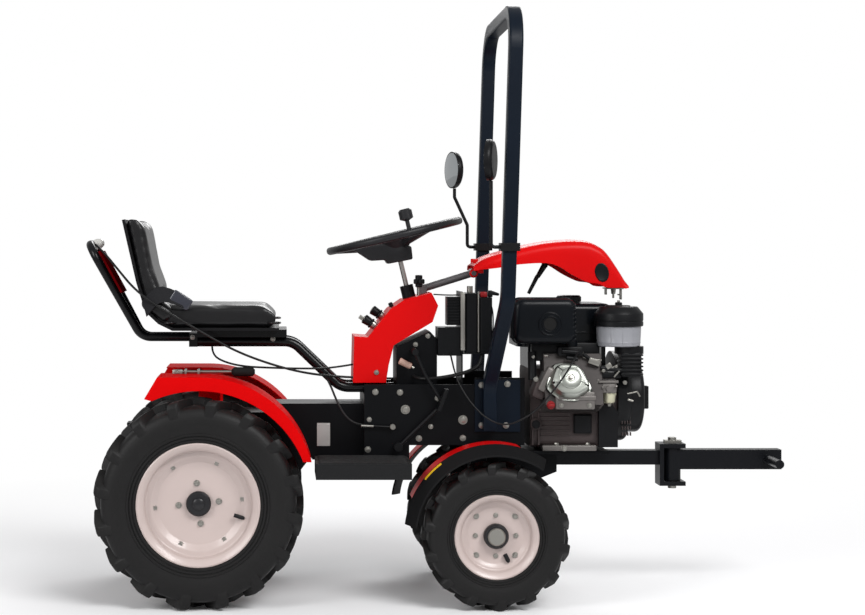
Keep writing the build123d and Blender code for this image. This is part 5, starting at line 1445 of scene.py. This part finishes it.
def smooth_line(points, x):
    """Height at x on a smooth line through the points."""
    for index in range(len(points) - 1):
        (x1, z1), (x2, z2) = points[index], points[index + 1]
        if x <= x2:
            x0, z0 = points[max(index - 1, 0)]
            x3, z3 = points[min(index + 2, len(points) - 1)]
            part = (x - x1) / (x2 - x1)
            rise_in = (z2 - z0) / (x2 - x0) * (x2 - x1)
            rise_out = (z3 - z1) / (x3 - x1) * (x2 - x1)
            square, cube = part * part, part * part * part
            return (
                (2 * cube - 3 * square + 1) * z1 + (cube - 2 * square + part) * rise_in
                + (3 * square - 2 * cube) * z2 + (cube - square) * rise_out
            )
    return points[-1][1]


skin = bmesh.new()
bmesh.ops.create_grid(skin, x_segments=HOOD_STATIONS, y_segments=HOOD_ACROSS, size=0.5)
rear_x, nose_x = HOOD_CREST[0][0], HOOD_CREST[-1][0]
for vert in skin.verts:
    along, across = vert.co.x + 0.5, vert.co.y * 2.0
    x = rear_x + (nose_x - rear_x) * along
    top, edge = smooth_line(HOOD_CREST, x), smooth_line(HOOD_EDGE, x)
    ease = min(HOOD_ROUND, (top - edge) * 0.95)
    flat = HOOD_HALF - ease
    share = abs(across)
    corner_top = top - HOOD_CROWN * ease / HOOD_ROUND
    if share < HOOD_FLAT_SHARE:
        y = flat * share / HOOD_FLAT_SHARE
        z = top - (top - corner_top) * (share / HOOD_FLAT_SHARE) ** 2
    elif share < HOOD_SIDE_SHARE:
        turn = (share - HOOD_FLAT_SHARE) / (HOOD_SIDE_SHARE - HOOD_FLAT_SHARE) * math.pi / 2
        y, z = flat + ease * math.sin(turn), corner_top - ease * (1.0 - math.cos(turn))
    else:
        start = corner_top - ease
        down = (share - HOOD_SIDE_SHARE) / (1.0 - HOOD_SIDE_SHARE)
        y, z = HOOD_HALF, start + (min(edge, start) - start) * down
    vert.co = (x, y if across >= 0.0 else -y, z)
bmesh.ops.recalc_face_normals(skin, faces=skin.faces)
middle = min(skin.faces, key=lambda item: (item.calc_center_median() - Vector((0.36, 0.0, 1.0))).length)
if middle.normal.z < 0.0:
    bmesh.ops.reverse_faces(skin, faces=skin.faces)
bmesh.ops.solidify(skin, geom=skin.faces[:], thickness=HOOD_WALL)
for side in (-1, 1):
    rod(skin, 112, side * EAR_NEAR, 908, 112, side * EAR_FAR, 908, 12.5)
    low_y, high_y = sorted((side * EAR_NEAR, side * EAR_FAR))
    box(skin, 110, low_y, 908, 140, high_y, 949)
piece(skin, "hood_pressing", red_paint, ["hood"], 50.0, body="hood")
PAD_X = 0.4675
PAD_Z = 0.911
PAD_HALF = (0.0195, 0.027, 1.0)
PAD_LEAN = -0.25
pads = bmesh.new()
for side in (-1, 1):
    pad = turned(((0.0, 0.0), (0.0, 1.0), (0.0012, 1.0), (0.0022, 0.88), (0.0014, 0.8), (0.0014, 0.0)), 48)
    bmesh.ops.scale(pad, verts=pad.verts, vec=PAD_HALF)
    stand = Matrix.Translation((PAD_X, side * HOOD_HALF, PAD_Z)) @ Matrix.Rotation(PAD_LEAN, 4, "Y")
    added(pads, pad, stand @ Matrix.Rotation(math.radians(-90.0 * side), 4, "X"))
piece(pads, "hood_pads", plastic, body="hood")
fitted("hood_latch", zinc, (
    (box, 491, -30, 862.5, 542, 30, 866, 0.8),
    (box, 493, -12, 846, 497, 12, 863.5, 1),
    (box, 536, -12, 832, 540, 12, 863.5, 1),
    (box, 530, -10, 844, 540, 10, 848, 1),
    (rod, 517, 0, 863.5, 517, 0, 848, 7.5, 6),
    (rod, 517, 0, 849, 517, 0, 836, 3),
), body="hood")
STAY_GREY = (0.135, 0.13, 0.135)
stay_grey = painted("stay_grey", STAY_GREY, 0.42, 0.35, metallic=0.4, dust=0.02)
dress(stay_grey, "hood_stay")
fitted("hood_prop", tube_black, (
    (rod, 334, 30, 992, 323, 30, 925, 10, 9),
    (rod, 323, 30, 929, 303, 30, 896, 8.8, 6.5),
    (rod, 303, 30, 899, 277, 30, 848, 6.2, 5),
), body="hood")
